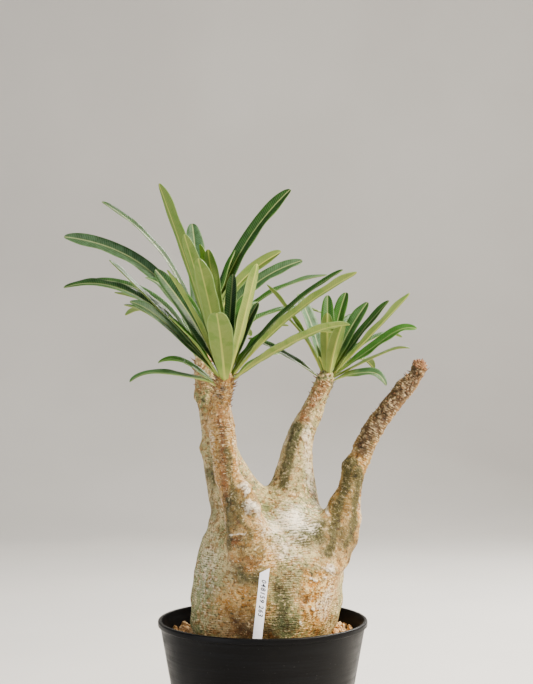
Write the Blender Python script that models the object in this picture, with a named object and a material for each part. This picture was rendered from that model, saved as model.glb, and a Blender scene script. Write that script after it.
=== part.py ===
"""A potted pachypodium, grown with a fat trunk, four arms and three heads of strap leaves.

It stands in a black plastic nursery pot filled with pumice gravel, with a white plant tag.
Metres, +Z up. The origin is the centre of the pot's foot, and the front faces -Y.
"""

import math
from dataclasses import dataclass

import bmesh
import bpy
import numpy as np
from mathutils import Matrix, Vector

MM = 0.001
GAP = 0.3 * MM

# Pot: a No. 5 nursery pot, 150 mm across its lip
POT_HEIGHT = 125 * MM
RIM_RADIUS = 75 * MM
FOOT_RADIUS = 51.6 * MM
WALL = 1.6 * MM
POT_FLOOR = 2.4 * MM
LIP_DEPTH = 4 * MM
LIP_STAND_OUT = 0.9 * MM
POT_SIDES = 48
DRAIN_HOLES = 4
DRAIN_RADIUS = 4.5 * MM
DRAIN_CIRCLE = 33 * MM
FOOT_ROUNDING = 1.2 * MM
FLOOR_CORNER = 2 * MM
# The lip's outline, outside then inside: (out from the rim or the bore, down from the top)
LIP_OUTSIDE = ((-0.25, 3.2), (0, 1.6), (-0.35, 0.5), (-1.1, 0))
LIP_INSIDE = ((0.5, 0.3), (0, 1.2))

# Soil: gravel that ends a little below the lip
SOIL_TOP = 111 * MM
PEBBLE_HEIGHT = 3.4 * MM
PEBBLE_PITCH = 6.5 * MM
SOIL_SIDES = 72
SOIL_RINGS = 8
SOIL_INNER_RADIUS = 30 * MM
SOIL_SEED = 5
PEBBLE_WANDER = 0.35
PEBBLE_LOWEST = 0.35
PEBBLE_SPREAD = 0.62
SOIL_CLEARANCE = 0.42 * MM

# Trunk: one swollen body, and arms as (right, away, up, radius) in millimetres
BODY_CENTRE = (3.4, 2, 149)
BODY_REACH = (54, 48, 60)
BODY_POWER = 2.5
BODY_TAPER = 0.015
BODY_LEAN = 0.1
ARMS = {
    "front": (
        (-4, -29, 154, 10), (-6, -33, 172, 13), (-10, -36, 192, 14.2), (-15, -37, 207, 13),
        (-21, -38, 222, 10.6), (-24.2, -38, 232, 9), (-26, -38, 246, 8.8), (-28.4, -38, 265, 8.9),
        (-29.8, -38, 277, 7.8), (-27.8, -38, 287, 6.5), (-26.2, -38, 296, 6.2), (-25.8, -38, 301, 4.4),
    ),
    "back": (
        (-9, 6, 178, 27), (-15.5, 8, 202, 21.6), (-22.4, 10, 218, 17.8), (-28.4, 11, 234, 14.4),
        (-32, 12, 247, 12), (-35, 12, 258, 9.7), (-38.4, 12, 275, 8.2), (-41.4, 12, 291, 7.5),
        (-43.4, 12, 307, 6.6), (-43.6, 12, 314, 4.6),
    ),
    "middle": (
        (14, 6, 180, 27), (19.5, 12, 202, 20), (22, 16, 217, 16.5), (23, 18, 228, 14),
        (25, 19, 243, 11.2), (28.4, 20, 257, 9.3), (34.4, 20, 269, 8.4), (41.2, 20, 285, 6.6),
        (45.6, 20, 296, 6.2), (47, 20, 301, 4.4),
    ),
    "bare": (
        (24, -19, 150, 18), (39.5, -17, 168, 19.3), (51.5, -12, 185, 16.2), (58, -8, 201, 11.8),
        (61.2, -7, 215, 8.9), (65, -6, 230.5, 8), (69.6, -6, 240.5, 7.2), (73.2, -6, 250, 7.2),
        (78, -6, 259.5, 7), (85.2, -6, 270.5, 6.7), (94.6, -6, 282.5, 6.3), (104.2, -6, 293.4, 5.9),
        (109, -6, 299.8, 5.4), (111.5, -6, 304.6, 5.4),
    ),
    "root": ((3, 2, 112, 30), (3, 2, 98, 27), (2, 1, 84, 17), (1, 0, 72, 9)),
}
KNOBS = (
    (49, -10, 211, 3.0), (57, -8, 238, 2.8), (-44, 10, 246, 2.4), (-46, 12, 284, 2.2),
    (87, -12, 277, 2.0), (76, -13, 262, 2.2), (98, -7, 293, 1.8), (-20, -46, 262, 1.6),
    (-35, -44, 270, 1.6), (67, -13, 232, 2.0), (-35, 21, 240, 2.6), (30, 28, 250, 2.4),
    (-12.5, -44, 222, 2.4), (-6, -43, 209, 2.6), (24, -44, 190, 3), (-22, 44, 176, 5), (34, 40, 182, 6),
)
KNOB_SPREAD = 2.2
BLEND = 3.6 * MM

# Bark relief: (height, wavelength, seed), full size on the body and a quarter of it on the arms
SWELLINGS = ((1.2 * MM, 42 * MM, 3), (0.5 * MM, 13 * MM, 4))
ARMS_THIN_ABOVE = 225 * MM
THINNING_HEIGHT = 40 * MM
ARM_RELIEF = 0.25
PATH_STEP = 4 * MM
VOXEL = 2.4 * MM
TRUNK_TRIANGLES = 4200
SPINE_LENGTH = 4.6 * MM
SPINE_RADIUS = 0.75 * MM
SPINE_SINK = 1.6 * MM
SPINE_RISE = 0.35
SPINE_WANDER = 0.3
# Spines on each arm: (how many, first and last distance below the arm's end, seed)
SPINES = {
    "front": (9, 17 * MM, 40 * MM, 1),
    "back": (7, 12 * MM, 40 * MM, 2),
    "middle": (7, 12 * MM, 42 * MM, 3),
    "bare": (11, 8 * MM, 62 * MM, 4),
}
# The bare arm's dried end: each shard's (sideways lean, height past the arm)
SHARDS = ((0.9, 1.5), (-0.6, 0.9), (0.5, 2.1), (-1.2, 1.2), (1.4, 0.9))
SHARD_RADIUS = 2.1 * MM
SHARD_CIRCLE = 0.45
SHARD_HEADING = (0.45, 0, 0.9)
GOLDEN_ANGLE = math.radians(137.508)

# Leaf heads: how far below its arm's end each crown starts
CROWN_START = {"front": 15 * MM, "back": 9 * MM, "middle": 9 * MM}
CROWN_PLUG_RADIUS = 14 * MM
CROWN_PLUG_LENGTH = 40 * MM
CROWN_INSET = 0.2 * MM
CROWN_SIDES = 10
LEAF_THICKNESS = 0.7 * MM
STALK_WIDTH = 2.6 * MM
LEAF_GUTTER = 0.32
LEAF_RIB = 1.5
LEAF_ROOT_OFFSET = 2.5
LEAF_TURNED_BY = 0.35
LEAF_STATIONS = (0.0, 0.14, 0.34, 0.56, 0.78, 0.93, 1.0)

# Plant tag
TAG_WIDTH = 6.4 * MM
TAG_LENGTH = 92 * MM
TAG_THICKNESS = 0.8 * MM
TAG_SLANT = 4.0 * MM
TAG_POINT = 6 * MM
TAG_TOP = Vector((1.7, -49.4, 169)) * MM
TAG_LEAN_RIGHT = math.radians(6.3)
TAG_LEAN_BACK = math.radians(4.0)


@dataclass(frozen=True)
class Leaf:
    """A strap leaf, in millimetres and degrees from its crown.

    right, away and up place its tip. bow is how far its middle stands above the straight line
    to the tip, hook the same near the tip. turn rolls its upper face to the front.
    low is how far below the crown's top it grows.
    """

    right: float
    away: float
    up: float
    width: float
    bow: float = 2.0
    hook: float = 0.0
    turn: float = 0.0
    low: float = 4.0


FRONT_LEAVES = (
    Leaf(-43.5, -30, 129, 14, 2, 0, 0, 2), Leaf(-26, -40, 94, 11, 2, 0, 4, 3),
    Leaf(-17, -14, 89, 9, 2, 0, 0, 2), Leaf(-16, -57, 77, 12.5, 3, 0, 0, 5),
    Leaf(-11, -25, 85, 9.5, 2, 0, 0, 2), Leaf(-3.5, -74, 41, 16.5, 5, 0, 0, 7),
    Leaf(5, 15, 70, 8.5, 1, 0, 0, 2), Leaf(22, -10, 76, 9, 0, 0, -28, 3),
    Leaf(22.5, 20, 50, 12.5, 3, 0, 10, 3), Leaf(90, -17, 70, 9, 7, 0, -26, 5),
    Leaf(81, -7, 72, 9, 7, 0, 22, 3), Leaf(84, -37, 34, 9.5, 6, 2, -24, 6),
    Leaf(73, -24, 29, 9, 6, 3, -12, 6), Leaf(38, 10, 14, 9, 3, 2, 24, 7),
    Leaf(22, 26, 51, 8, 5, 4, 0, 5), Leaf(-49, 10, 73, 11, 4, 0, 62, 3),
    Leaf(-57, 20, 68, 9, 7, 3, 20, 4), Leaf(-35, 18, 60, 10, 4, 0, 40, 4),
    Leaf(-40, -7, 72, 9, 3, 0, -12, 3), Leaf(-80, -4, 79, 9, 2, 0, 12, 3),
    Leaf(-38, -16, 40, 9, 3, 0, 25, 6), Leaf(-65, -12, 50, 10, 4, 2, 42, 5),
    Leaf(-70, -2, 48, 9, 6, 2, 10, 5), Leaf(-46, -7, 8, 8.5, 7, 3, 24, 13),
    Leaf(-65, -12, -5, 9, 6, 3, 18, 8), Leaf(14, 46, 56, 10, 8, 0, 0, 5),
    Leaf(44, 34, 34, 10, 8, 3, 0, 7), Leaf(-22, 30, 82, 10, 3, 0, 0, 3),
)
BACK_LEAVES = (
    Leaf(-101, 3, 86, 10.5, 24, 0, 62, 4), Leaf(-73, -2, 111, 9, 18, 0, 22, 3),
    Leaf(-102, 8, 49, 10.5, 20, 3, 30, 6), Leaf(-82, 26, 56, 10, 17, 0, 18, 5),
    Leaf(-66, 20, 46, 10, 12, 0, 0, 6), Leaf(-10, 48, 99, 14, 7, 0, 0, 3),
    Leaf(64, 28, 123, 12, 13, 0, 35, 2), Leaf(73, 27, 70, 11, 14, 0, 40, 3),
    Leaf(92, 40, 60, 9, 14, 0, 10, 4), Leaf(90, 47, 31, 9.5, 16, 2, 10, 6),
    Leaf(-30, 60, 58, 11, 12, 0, 0, 4), Leaf(-62, 66, 30, 11, 14, 3, 0, 6),
    Leaf(8, 82, 48, 11, 14, 2, 0, 5), Leaf(42, 66, 62, 11, 12, 0, 0, 4),
    Leaf(-24, 84, 22, 10, 14, 3, 0, 7), Leaf(34, 78, 14, 10, 13, 3, 0, 7),
    Leaf(57, 14, 76, 11, 13, 0, -50, 3), Leaf(23, 10, 76.5, 10.5, 3, 0, 0, 2),
)
MIDDLE_LEAVES = (
    Leaf(-44, -10, 64, 8.5, 4, 0, -5, 3), Leaf(-21, 12, 58, 11, 3, 0, 25, 2),
    Leaf(-31, -6, 42, 9.5, 4, 0, 10, 4), Leaf(1, 15, 57, 10, 1, 0, 0, 1),
    Leaf(-1, -25, 43, 10, 2, 0, 0, 4), Leaf(10, -30, 37, 10.5, 3, 0, 0, 5),
    Leaf(31, 20, 52, 10.5, 3, 0, 30, 2), Leaf(46, 10, 53, 9.5, 2, 0, 20, 3),
    Leaf(60, -5, 58, 9.5, 0, 0, -25, 3), Leaf(64, -15, 32, 10.5, 3, 4, 40, 4),
    Leaf(60, -8, 18, 9, 3, 2, 0, 5), Leaf(42, -15, -9, 9.5, 7, 4, 20, 7),
    Leaf(-58, 8, 25, 8.5, 3, 1, 22, 6), Leaf(16, 42, 60, 10, 5, 0, 0, 3),
    Leaf(24, 52, 44, 10, 10, 0, 0, 4), Leaf(58, 38, 26, 10, 10, 3, 0, 5),
    Leaf(2, 64, 10, 10, 12, 3, 0, 6), Leaf(38, 52, 2, 10, 10, 3, 0, 7),
)


def finish(name, colour, roughness, metallic=0.0):
    """A plain Principled material."""
    material = bpy.data.materials.new(name)
    material.use_nodes = True
    shader = material.node_tree.nodes["Principled BSDF"]
    shader.inputs["Base Color"].default_value = (*colour, 1.0)
    shader.inputs["Roughness"].default_value = roughness
    shader.inputs["Metallic"].default_value = metallic
    return material


def black_plastic():
    """The nursery pot's satin black."""
    return finish("black_plastic", (0.012, 0.012, 0.013), 0.42)


def pumice_gravel():
    """Dusty golden-tan stones."""
    return finish("pumice_gravel", (0.42, 0.27, 0.11), 0.95)


def silvery_bark():
    """Pale grey-brown skin."""
    return finish("silvery_bark", (0.44, 0.37, 0.27), 0.8)


def leaf_green():
    """Deep green blades."""
    return finish("leaf_green", (0.06, 0.17, 0.04), 0.45)


def white_plastic():
    """The tag's faintly blue white."""
    return finish("white_plastic", (0.8, 0.81, 0.86), 0.4)


def mesh_object(name, points, faces, material=None, smooth_angle=None):
    """An object from points and faces, shaded smooth below smooth_angle degrees."""
    mesh = bpy.data.meshes.new(name)
    mesh.from_pydata([tuple(p) for p in points], [], [tuple(f) for f in faces])
    mesh.validate()
    shape = bmesh.new()
    shape.from_mesh(mesh)
    bmesh.ops.recalc_face_normals(shape, faces=shape.faces)
    shape.to_mesh(mesh)
    shape.free()
    return object_of(name, mesh, material, smooth_angle)


def object_of(name, mesh, material=None, smooth_angle=None):
    """Put a mesh into the scene as an object."""
    obj = bpy.data.objects.new(name, mesh)
    obj.data.name = name
    bpy.context.scene.collection.objects.link(obj)
    if material is not None:
        mesh.materials.clear()
        mesh.materials.append(material)
    if smooth_angle is not None:
        mesh.shade_smooth()
        mesh.set_sharp_from_angle(angle=math.radians(smooth_angle))
    return obj


def applied(obj):
    """The object's mesh with its modifiers applied. The object is removed."""
    bpy.context.view_layer.update()
    graph = bpy.context.evaluated_depsgraph_get()
    mesh = bpy.data.meshes.new_from_object(obj.evaluated_get(graph))
    bpy.data.objects.remove(obj)
    return mesh


def cut(obj, cutters, operation="DIFFERENCE", solver="EXACT"):
    """Apply one Boolean with a collection of cutters, then remove them."""
    group = bpy.data.collections.new("cutters")
    bpy.context.scene.collection.children.link(group)
    for cutter in cutters:
        bpy.context.scene.collection.objects.unlink(cutter)
        group.objects.link(cutter)
    boolean = obj.modifiers.new("boolean", "BOOLEAN")
    boolean.operand_type = "COLLECTION"
    boolean.collection = group
    boolean.operation = operation
    boolean.solver = solver
    mesh = applied(obj)
    for cutter in cutters:
        bpy.data.objects.remove(cutter)
    bpy.data.collections.remove(group)
    return mesh


def outer_shell(mesh):
    """Keep only the mesh's largest shell: sealed hollows are filled and loose scraps dropped."""
    shape = bmesh.new()
    shape.from_mesh(mesh)
    bmesh.ops.remove_doubles(shape, verts=shape.verts, dist=0.002 * MM)
    bmesh.ops.dissolve_degenerate(shape, edges=shape.edges, dist=0.002 * MM)
    shells, seen = [], set()
    for first in shape.verts:
        if first in seen:
            continue
        shell, waiting = [], [first]
        seen.add(first)
        while waiting:
            vert = waiting.pop()
            shell.append(vert)
            for edge in vert.link_edges:
                other = edge.other_vert(vert)
                if other not in seen:
                    seen.add(other)
                    waiting.append(other)
        shells.append(shell)
    largest = max(shells, key=len)
    spare = [vert for shell in shells if shell is not largest for vert in shell]
    bmesh.ops.delete(shape, geom=spare, context="VERTS")
    shape.to_mesh(mesh)
    shape.free()
    return mesh


def rings_to_faces(rings, sides):
    """Faces of a closed tube whose rings of points follow each other."""
    faces = []
    for ring in range(rings - 1):
        for side in range(sides):
            after = (side + 1) % sides
            a, b = ring * sides + side, ring * sides + after
            faces.append((a, b, b + sides, a + sides))
    faces.append(tuple(reversed(range(sides))))
    faces.append(tuple((rings - 1) * sides + side for side in range(sides)))
    return faces


def run_length(path):
    """The distance along a path at each of its points."""
    return np.append(0, np.cumsum(np.linalg.norm(np.diff(path[:, :3], axis=0), axis=1)))


def smooth_path(knots, step):
    """A Catmull-Rom curve through knots of any number of values, with points step apart."""
    knots = np.asarray(knots, float)
    padded = np.vstack([2 * knots[0] - knots[1], knots, 2 * knots[-1] - knots[-2]])
    rows = []
    for k in range(1, len(padded) - 2):
        before, start, end, after = padded[k - 1:k + 3]
        count = max(1, round(np.linalg.norm((end - start)[:3]) / step))
        t = np.linspace(0, 1, count, endpoint=False)[:, None]
        rows.append(0.5 * (2 * start + (end - before) * t
                           + (2 * before - 5 * start + 4 * end - after) * t ** 2
                           + (3 * start - before - 3 * end + after) * t ** 3))
    rows.append(knots[-1:])
    return np.vstack(rows)


def tube(name, path, sides):
    """A closed tube along rows of (x, y, z, radius)."""
    centres = path[:, :3]
    heading = np.gradient(centres, axis=0)
    heading /= np.linalg.norm(heading, axis=1)[:, None]
    first = np.cross(heading, (0, 1, 0))
    first /= np.linalg.norm(first, axis=1)[:, None]
    second = np.cross(heading, first)
    angle = np.arange(sides) * 2 * math.pi / sides
    around = np.cos(angle)[None, :, None] * first[:, None]
    around = around + np.sin(angle)[None, :, None] * second[:, None]
    points = centres[:, None] + path[:, 3, None, None] * around
    return mesh_object(name, points.reshape(-1, 3), rings_to_faces(len(path), sides))


def distance_to_path(points, path):
    """How far points lie outside a chain of balls that runs along a path."""
    nearest = np.full(len(points), 1e9)
    for start, end in zip(path[:-1], path[1:]):
        span = end[:3] - start[:3]
        t = np.clip((points - start[:3]) @ span / (span @ span), 0, 1)
        centre = start[:3] + t[:, None] * span
        radius = start[3] + t * (end[3] - start[3])
        nearest = np.minimum(nearest, np.linalg.norm(points - centre, axis=1) - radius)
    return nearest


def body_distance(points):
    """Roughly how far points lie outside the trunk's swollen body."""
    reach = np.array(BODY_REACH) * MM
    offset = points - np.array(BODY_CENTRE) * MM
    offset[:, 0] -= BODY_LEAN * offset[:, 2]
    scaled = np.abs(offset) / reach
    taper = 1 + BODY_TAPER * np.clip(offset[:, 2] / reach[2], -1, 1)
    flat = np.hypot(scaled[:, 0], scaled[:, 1]) * taper
    size = (flat ** BODY_POWER + scaled[:, 2] ** BODY_POWER) ** (1 / BODY_POWER)
    return (size - 1) * reach.min()


def trunk_distance(points, paths):
    """The body and arms joined with soft hollows between them."""
    parts = [body_distance(points)] + [distance_to_path(points, path) for path in paths]
    return -BLEND * np.log(sum(np.exp(-part / BLEND) for part in parts))


def ripple(points, wavelength, seed, waves=14):
    """A smooth random field between about -1 and 1: a sum of sines in seeded directions."""
    draw = np.random.default_rng(seed)
    directions = draw.normal(size=(waves, 3))
    directions /= np.linalg.norm(directions, axis=1)[:, None]
    rates = 2 * math.pi / (wavelength * draw.uniform(0.75, 1.4, waves))
    phases = draw.uniform(0, 2 * math.pi, waves)
    return np.sin(points @ (directions * rates[:, None]).T + phases).sum(1) / math.sqrt(waves)


def trunk_relief(points):
    """How far the bark stands out: broad swellings, wrinkles and old leaf knobs."""
    fat = np.clip((ARMS_THIN_ABOVE - points[:, 2]) / THINNING_HEIGHT, ARM_RELIEF, 1)
    height = fat * sum(rise * ripple(points, wavelength, seed) for rise, wavelength, seed in SWELLINGS)
    for x, y, z, rise in KNOBS:
        away = np.linalg.norm(points - np.array((x, y, z)) * MM, axis=1)
        height += rise * MM * np.exp(-(away / (KNOB_SPREAD * rise * MM)) ** 2)
    return height


def settle_on_trunk(points, edges, paths, rounds=4):
    """Relax the points along the surface and move them onto the trunk's formula."""
    step = 0.2 * MM
    degree = np.bincount(edges.ravel(), minlength=len(points))[:, None]
    for _ in range(rounds):
        total = np.zeros_like(points)
        np.add.at(total, edges[:, 0], points[edges[:, 1]])
        np.add.at(total, edges[:, 1], points[edges[:, 0]])
        points = 0.5 * points + 0.5 * total / degree
        for _ in range(2):
            here = trunk_distance(points, paths)
            ahead = [trunk_distance(points + step * axis, paths) for axis in np.eye(3)]
            slope = (np.stack(ahead, 1) - here[:, None]) / step
            points = points - (here / np.maximum((slope ** 2).sum(1), 0.2))[:, None] * slope
    return points, slope / np.linalg.norm(slope, axis=1)[:, None]


def limb_paths():
    """A smooth path in metres for each arm."""
    return {name: smooth_path(np.array(knots) * MM, PATH_STEP) for name, knots in ARMS.items()}


def rough_trunk(paths):
    """Plain closed tubes and a ball, joined in one mesh."""
    body = bmesh.new()
    bmesh.ops.create_uvsphere(body, u_segments=32, v_segments=20, radius=1)
    bmesh.ops.scale(body, vec=Vector(BODY_REACH) * MM, verts=body.verts)
    bmesh.ops.translate(body, vec=Vector(BODY_CENTRE) * MM, verts=body.verts)
    for path in paths.values():
        limb = tube("limb", path, 16)
        body.from_mesh(limb.data)
        bpy.data.objects.remove(limb)
    mesh = bpy.data.meshes.new("rough_trunk")
    body.to_mesh(mesh)
    body.free()
    return object_of("rough_trunk", mesh)


def spine(base, outward):
    """A three-sided thorn with its root sunk in the bark."""
    outward = outward.normalized()
    turn = Vector((0, 0, 1)).rotation_difference(outward).to_matrix()
    ring = [base - outward * SPINE_SINK + turn @ Vector((math.cos(a), math.sin(a), 0)) * SPINE_RADIUS
            for a in (0, 2 * math.pi / 3, 4 * math.pi / 3)]
    points = ring + [base + outward * SPINE_LENGTH]
    return mesh_object("spine", points, [(0, 1, 2), (0, 3, 1), (1, 3, 2), (2, 3, 0)])


def spines_on(path, count, first, last, seed):
    """Thorns in a golden-angle spiral, between two distances below the arm's end."""
    draw = np.random.default_rng(seed)
    length = run_length(path)
    spines = []
    for k in range(count):
        down = first + (last - first) * k / max(1, count - 1)
        along = length[-1] - down
        x, y, z, radius = (np.interp(along, length, path[:, i]) for i in range(4))
        angle = k * GOLDEN_ANGLE + draw.uniform(-SPINE_WANDER, SPINE_WANDER)
        flat = Vector((math.cos(angle), math.sin(angle), 0))
        spines.append(spine(Vector((x, y, z)) + flat * radius, flat + Vector((0, 0, SPINE_RISE))))
    return spines


def dried_tip(path):
    """Broken brown shards at the bare arm's end."""
    end = Vector(path[-1, :3])
    radius = path[-1, 3]
    shards = []
    for k, (lean, past) in enumerate(SHARDS):
        angle = k * GOLDEN_ANGLE
        sideways = Vector((lean * math.cos(angle), math.sin(angle), 0)) * 0.5
        heading = (Vector(SHARD_HEADING) + sideways).normalized()
        base = end + Vector((math.cos(angle), math.sin(angle), 0)) * radius * SHARD_CIRCLE
        turn = Vector((0, 0, 1)).rotation_difference(heading).to_matrix()
        ring = [base + turn @ Vector((math.cos(a), math.sin(a), 0)) * SHARD_RADIUS
                for a in np.arange(4) * math.pi / 2]
        points = ring + [base + heading * (radius + past * MM)]
        faces = [(0, 1, 2, 3), (0, 4, 1), (1, 4, 2), (2, 4, 3), (3, 4, 0)]
        shards.append(mesh_object("shard", points, faces))
    return shards


def crown_plane(path, below_end):
    """Where a crown starts on its arm: the point and the arm's heading there."""
    length = run_length(path)
    along = length[-1] - below_end
    point = Vector([np.interp(along, length, path[:, i]) for i in range(3)])
    ahead = Vector([np.interp(along + 2 * MM, length, path[:, i]) for i in range(3)])
    return point, (ahead - point).normalized()


def crown_cutter(point, heading):
    """A plug that takes off an arm's end above a plane."""
    shape = bmesh.new()
    bmesh.ops.create_cone(shape, cap_ends=True, segments=12, radius1=CROWN_PLUG_RADIUS,
                          radius2=CROWN_PLUG_RADIUS, depth=CROWN_PLUG_LENGTH)
    turn = Vector((0, 0, 1)).rotation_difference(heading).to_matrix().to_4x4()
    place = Matrix.Translation(point + heading * CROWN_PLUG_LENGTH / 2)
    bmesh.ops.transform(shape, matrix=place @ turn, verts=shape.verts)
    mesh = bpy.data.meshes.new("crown_cutter")
    shape.to_mesh(mesh)
    shape.free()
    return object_of("crown_cutter", mesh)


def build_trunk(paths):
    """The trunk with its arms: tubes fused by a voxel remesh, settled on the formula, thinned."""
    rough = rough_trunk(paths)
    remesh = rough.modifiers.new("remesh", "REMESH")
    remesh.mode = "VOXEL"
    remesh.voxel_size = VOXEL
    mesh = applied(rough)
    points = np.empty(len(mesh.vertices) * 3)
    mesh.vertices.foreach_get("co", points)
    edges = np.empty(len(mesh.edges) * 2, dtype=np.int64)
    mesh.edges.foreach_get("vertices", edges)
    points, outward = settle_on_trunk(points.reshape(-1, 3), edges.reshape(-1, 2), list(paths.values()))
    points += trunk_relief(points)[:, None] * outward
    mesh.vertices.foreach_set("co", points.ravel())
    trunk = object_of("trunk", mesh)
    thin = trunk.modifiers.new("thin", "DECIMATE")
    thin.ratio = TRUNK_TRIANGLES / (2 * len(mesh.polygons))
    thin.use_collapse_triangulate = True
    trunk = object_of("trunk", applied(trunk))
    cutters = [crown_cutter(*crown_plane(paths[arm], start)) for arm, start in CROWN_START.items()]
    trunk = object_of("trunk", cut(trunk, cutters))
    thorns = dried_tip(paths["bare"])
    for arm, (count, first, last, seed) in SPINES.items():
        thorns += spines_on(paths[arm], count, first, last, seed)
    mesh = outer_shell(cut(trunk, thorns, "UNION", "MANIFOLD"))
    return object_of("trunk", mesh, silvery_bark(), 50)


def leaf_width(t):
    """A strap leaf's width along it, as a share of the widest place."""
    stalk = STALK_WIDTH / (10 * MM)
    blade = np.clip((t - 0.04) / 0.5, 0, 1)
    swell = stalk + (1 - stalk) * np.sin(blade * math.pi / 2)
    end = np.clip((t - 0.8) / 0.2, 0, 1)
    return swell * np.sqrt(np.clip(1 - 0.97 * end ** 2.2, 0, 1))


def leaf_line(leaf, crown, t):
    """The midrib's points at t, and the directions along, across and out of the upper face."""
    tip = np.array((leaf.right, leaf.away, leaf.up)) * MM
    flat = math.atan2(leaf.away, leaf.right)
    root = (math.cos(flat) * LEAF_ROOT_OFFSET, math.sin(flat) * LEAF_ROOT_OFFSET, -leaf.low)
    start = np.array(root) * MM
    chord = tip - start
    level = np.cross(chord, (0, 0, 1))
    level /= np.linalg.norm(level)
    rise = np.cross(level, chord / np.linalg.norm(chord))
    lift = (leaf.bow * 4 * t * (1 - t) + leaf.hook * 15 * t ** 5 * (1 - t)) * MM
    points = crown + start + t[:, None] * chord + lift[:, None] * rise
    slope = (leaf.bow * 4 * (1 - 2 * t) + leaf.hook * 15 * (5 * t ** 4 - 6 * t ** 5)) * MM
    along = chord + slope[:, None] * rise
    along /= np.linalg.norm(along, axis=1)[:, None]
    across = np.broadcast_to(level, along.shape)
    upper = np.cross(across, along)
    front = -1 if level[1] > 0 else 1
    angle = math.radians(leaf.turn) * np.clip(t / LEAF_TURNED_BY, 0, 1)[:, None]
    face = np.cos(angle) * upper + front * np.sin(angle) * across
    return points, along, np.cross(along, face), face


def leaf_solid(leaf, crown):
    """A blade of six-point rings: a shallow gutter above, a rib below."""
    t = np.array(LEAF_STATIONS)
    centre, _, across, face = leaf_line(leaf, crown, t)
    half = (leaf_width(t) * leaf.width * MM / 2)[:, None]
    edge = centre + LEAF_GUTTER * half * face
    left = edge - across * half
    right = edge + across * half
    down = face * LEAF_THICKNESS
    ring = np.stack([left, centre, right, right - down, centre - LEAF_RIB * down, left - down], 1)
    faces = []
    for k in range(len(t) - 1):
        for side in range(6):
            a, b = k * 6 + side, k * 6 + (side + 1) % 6
            faces += [(a, b, b + 6), (a, b + 6, a + 6)]
    last = (len(t) - 1) * 6
    for start in (0, last):
        faces += [(start, start + 1, start + 4), (start, start + 4, start + 5),
                  (start + 1, start + 2, start + 3), (start + 1, start + 3, start + 4)]
    return mesh_object("leaf", ring.reshape(-1, 3), faces)


def build_head(name, path, start, leaves):
    """A crown, the leafy end of an arm, with its leaves fused to it."""
    point, heading = crown_plane(path, start - GAP)
    length = run_length(path)
    along = np.linspace(length[-1] - start + GAP, length[-1], 5)
    rows = np.stack([np.interp(along, length, path[:, i]) for i in range(4)], 1)
    rows[:, 3] -= CROWN_INSET
    top = np.append(rows[-1, :3] + 0.6 * rows[-1, 3] * np.array(heading), 0.5 * rows[-1, 3])
    crown = flat_bottomed(tube(name, np.vstack([rows, top]), CROWN_SIDES), point, heading)
    blades = [leaf_solid(leaf, path[-1, :3]) for leaf in leaves]
    mesh = outer_shell(cut(crown, blades, "UNION", "MANIFOLD"))
    return object_of(name, mesh, leaf_green(), 40)


def flat_bottomed(crown, point, heading):
    """Cut the crown square to its arm, just clear of the trunk."""
    shape = bmesh.new()
    shape.from_mesh(crown.data)
    parts = shape.verts[:] + shape.edges[:] + shape.faces[:]
    bmesh.ops.bisect_plane(shape, geom=parts, plane_co=point, plane_no=heading, clear_inner=True)
    bmesh.ops.holes_fill(shape, edges=[edge for edge in shape.edges if edge.is_boundary])
    bmesh.ops.recalc_face_normals(shape, faces=shape.faces)
    shape.to_mesh(crown.data)
    shape.free()
    return crown


def wall_radius(z):
    """The pot's outer radius at a height."""
    taper = (RIM_RADIUS - LIP_STAND_OUT - FOOT_RADIUS) / POT_HEIGHT
    return FOOT_RADIUS + taper * z


def turned(name, profile, sides):
    """A solid of revolution about Z from a profile of (radius, height) that starts and ends in a flat."""
    angle = np.arange(sides) * 2 * math.pi / sides
    profile = np.array(profile)
    points = np.stack([profile[:, None, 0] * np.cos(angle), profile[:, None, 0] * np.sin(angle),
                       np.repeat(profile[:, 1:], sides, axis=1)], -1)
    return mesh_object(name, points.reshape(-1, 3), rings_to_faces(len(profile), sides))


def build_pot():
    """A tapered pot with a rounded lip, a flat foot and four drain holes."""
    under_lip = POT_HEIGHT - LIP_DEPTH
    bore = wall_radius(POT_HEIGHT) - WALL
    corner = POT_FLOOR + FLOOR_CORNER
    profile = [(FOOT_RADIUS - FOOT_ROUNDING, 0), (FOOT_RADIUS, FOOT_ROUNDING)]
    profile += [(wall_radius(under_lip), under_lip)]
    profile += [(RIM_RADIUS + out * MM, POT_HEIGHT - down * MM) for out, down in LIP_OUTSIDE]
    profile += [(bore + out * MM, POT_HEIGHT - down * MM) for out, down in LIP_INSIDE]
    profile += [(wall_radius(corner) - WALL, corner)]
    profile += [(wall_radius(POT_FLOOR) - WALL - FLOOR_CORNER, POT_FLOOR)]
    pot = turned("pot", profile, POT_SIDES)
    holes = []
    for k in range(DRAIN_HOLES):
        angle = (k + 0.5) * 2 * math.pi / DRAIN_HOLES
        shape = bmesh.new()
        bmesh.ops.create_cone(shape, cap_ends=True, segments=16, radius1=DRAIN_RADIUS,
                              radius2=DRAIN_RADIUS, depth=4 * POT_FLOOR)
        place = Vector((math.cos(angle), math.sin(angle), 0)) * DRAIN_CIRCLE
        bmesh.ops.translate(shape, vec=place, verts=shape.verts)
        mesh = bpy.data.meshes.new("drain")
        shape.to_mesh(mesh)
        shape.free()
        holes.append(object_of("drain", mesh))
    return object_of("pot", cut(pot, holes), black_plastic(), 30)


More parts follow.
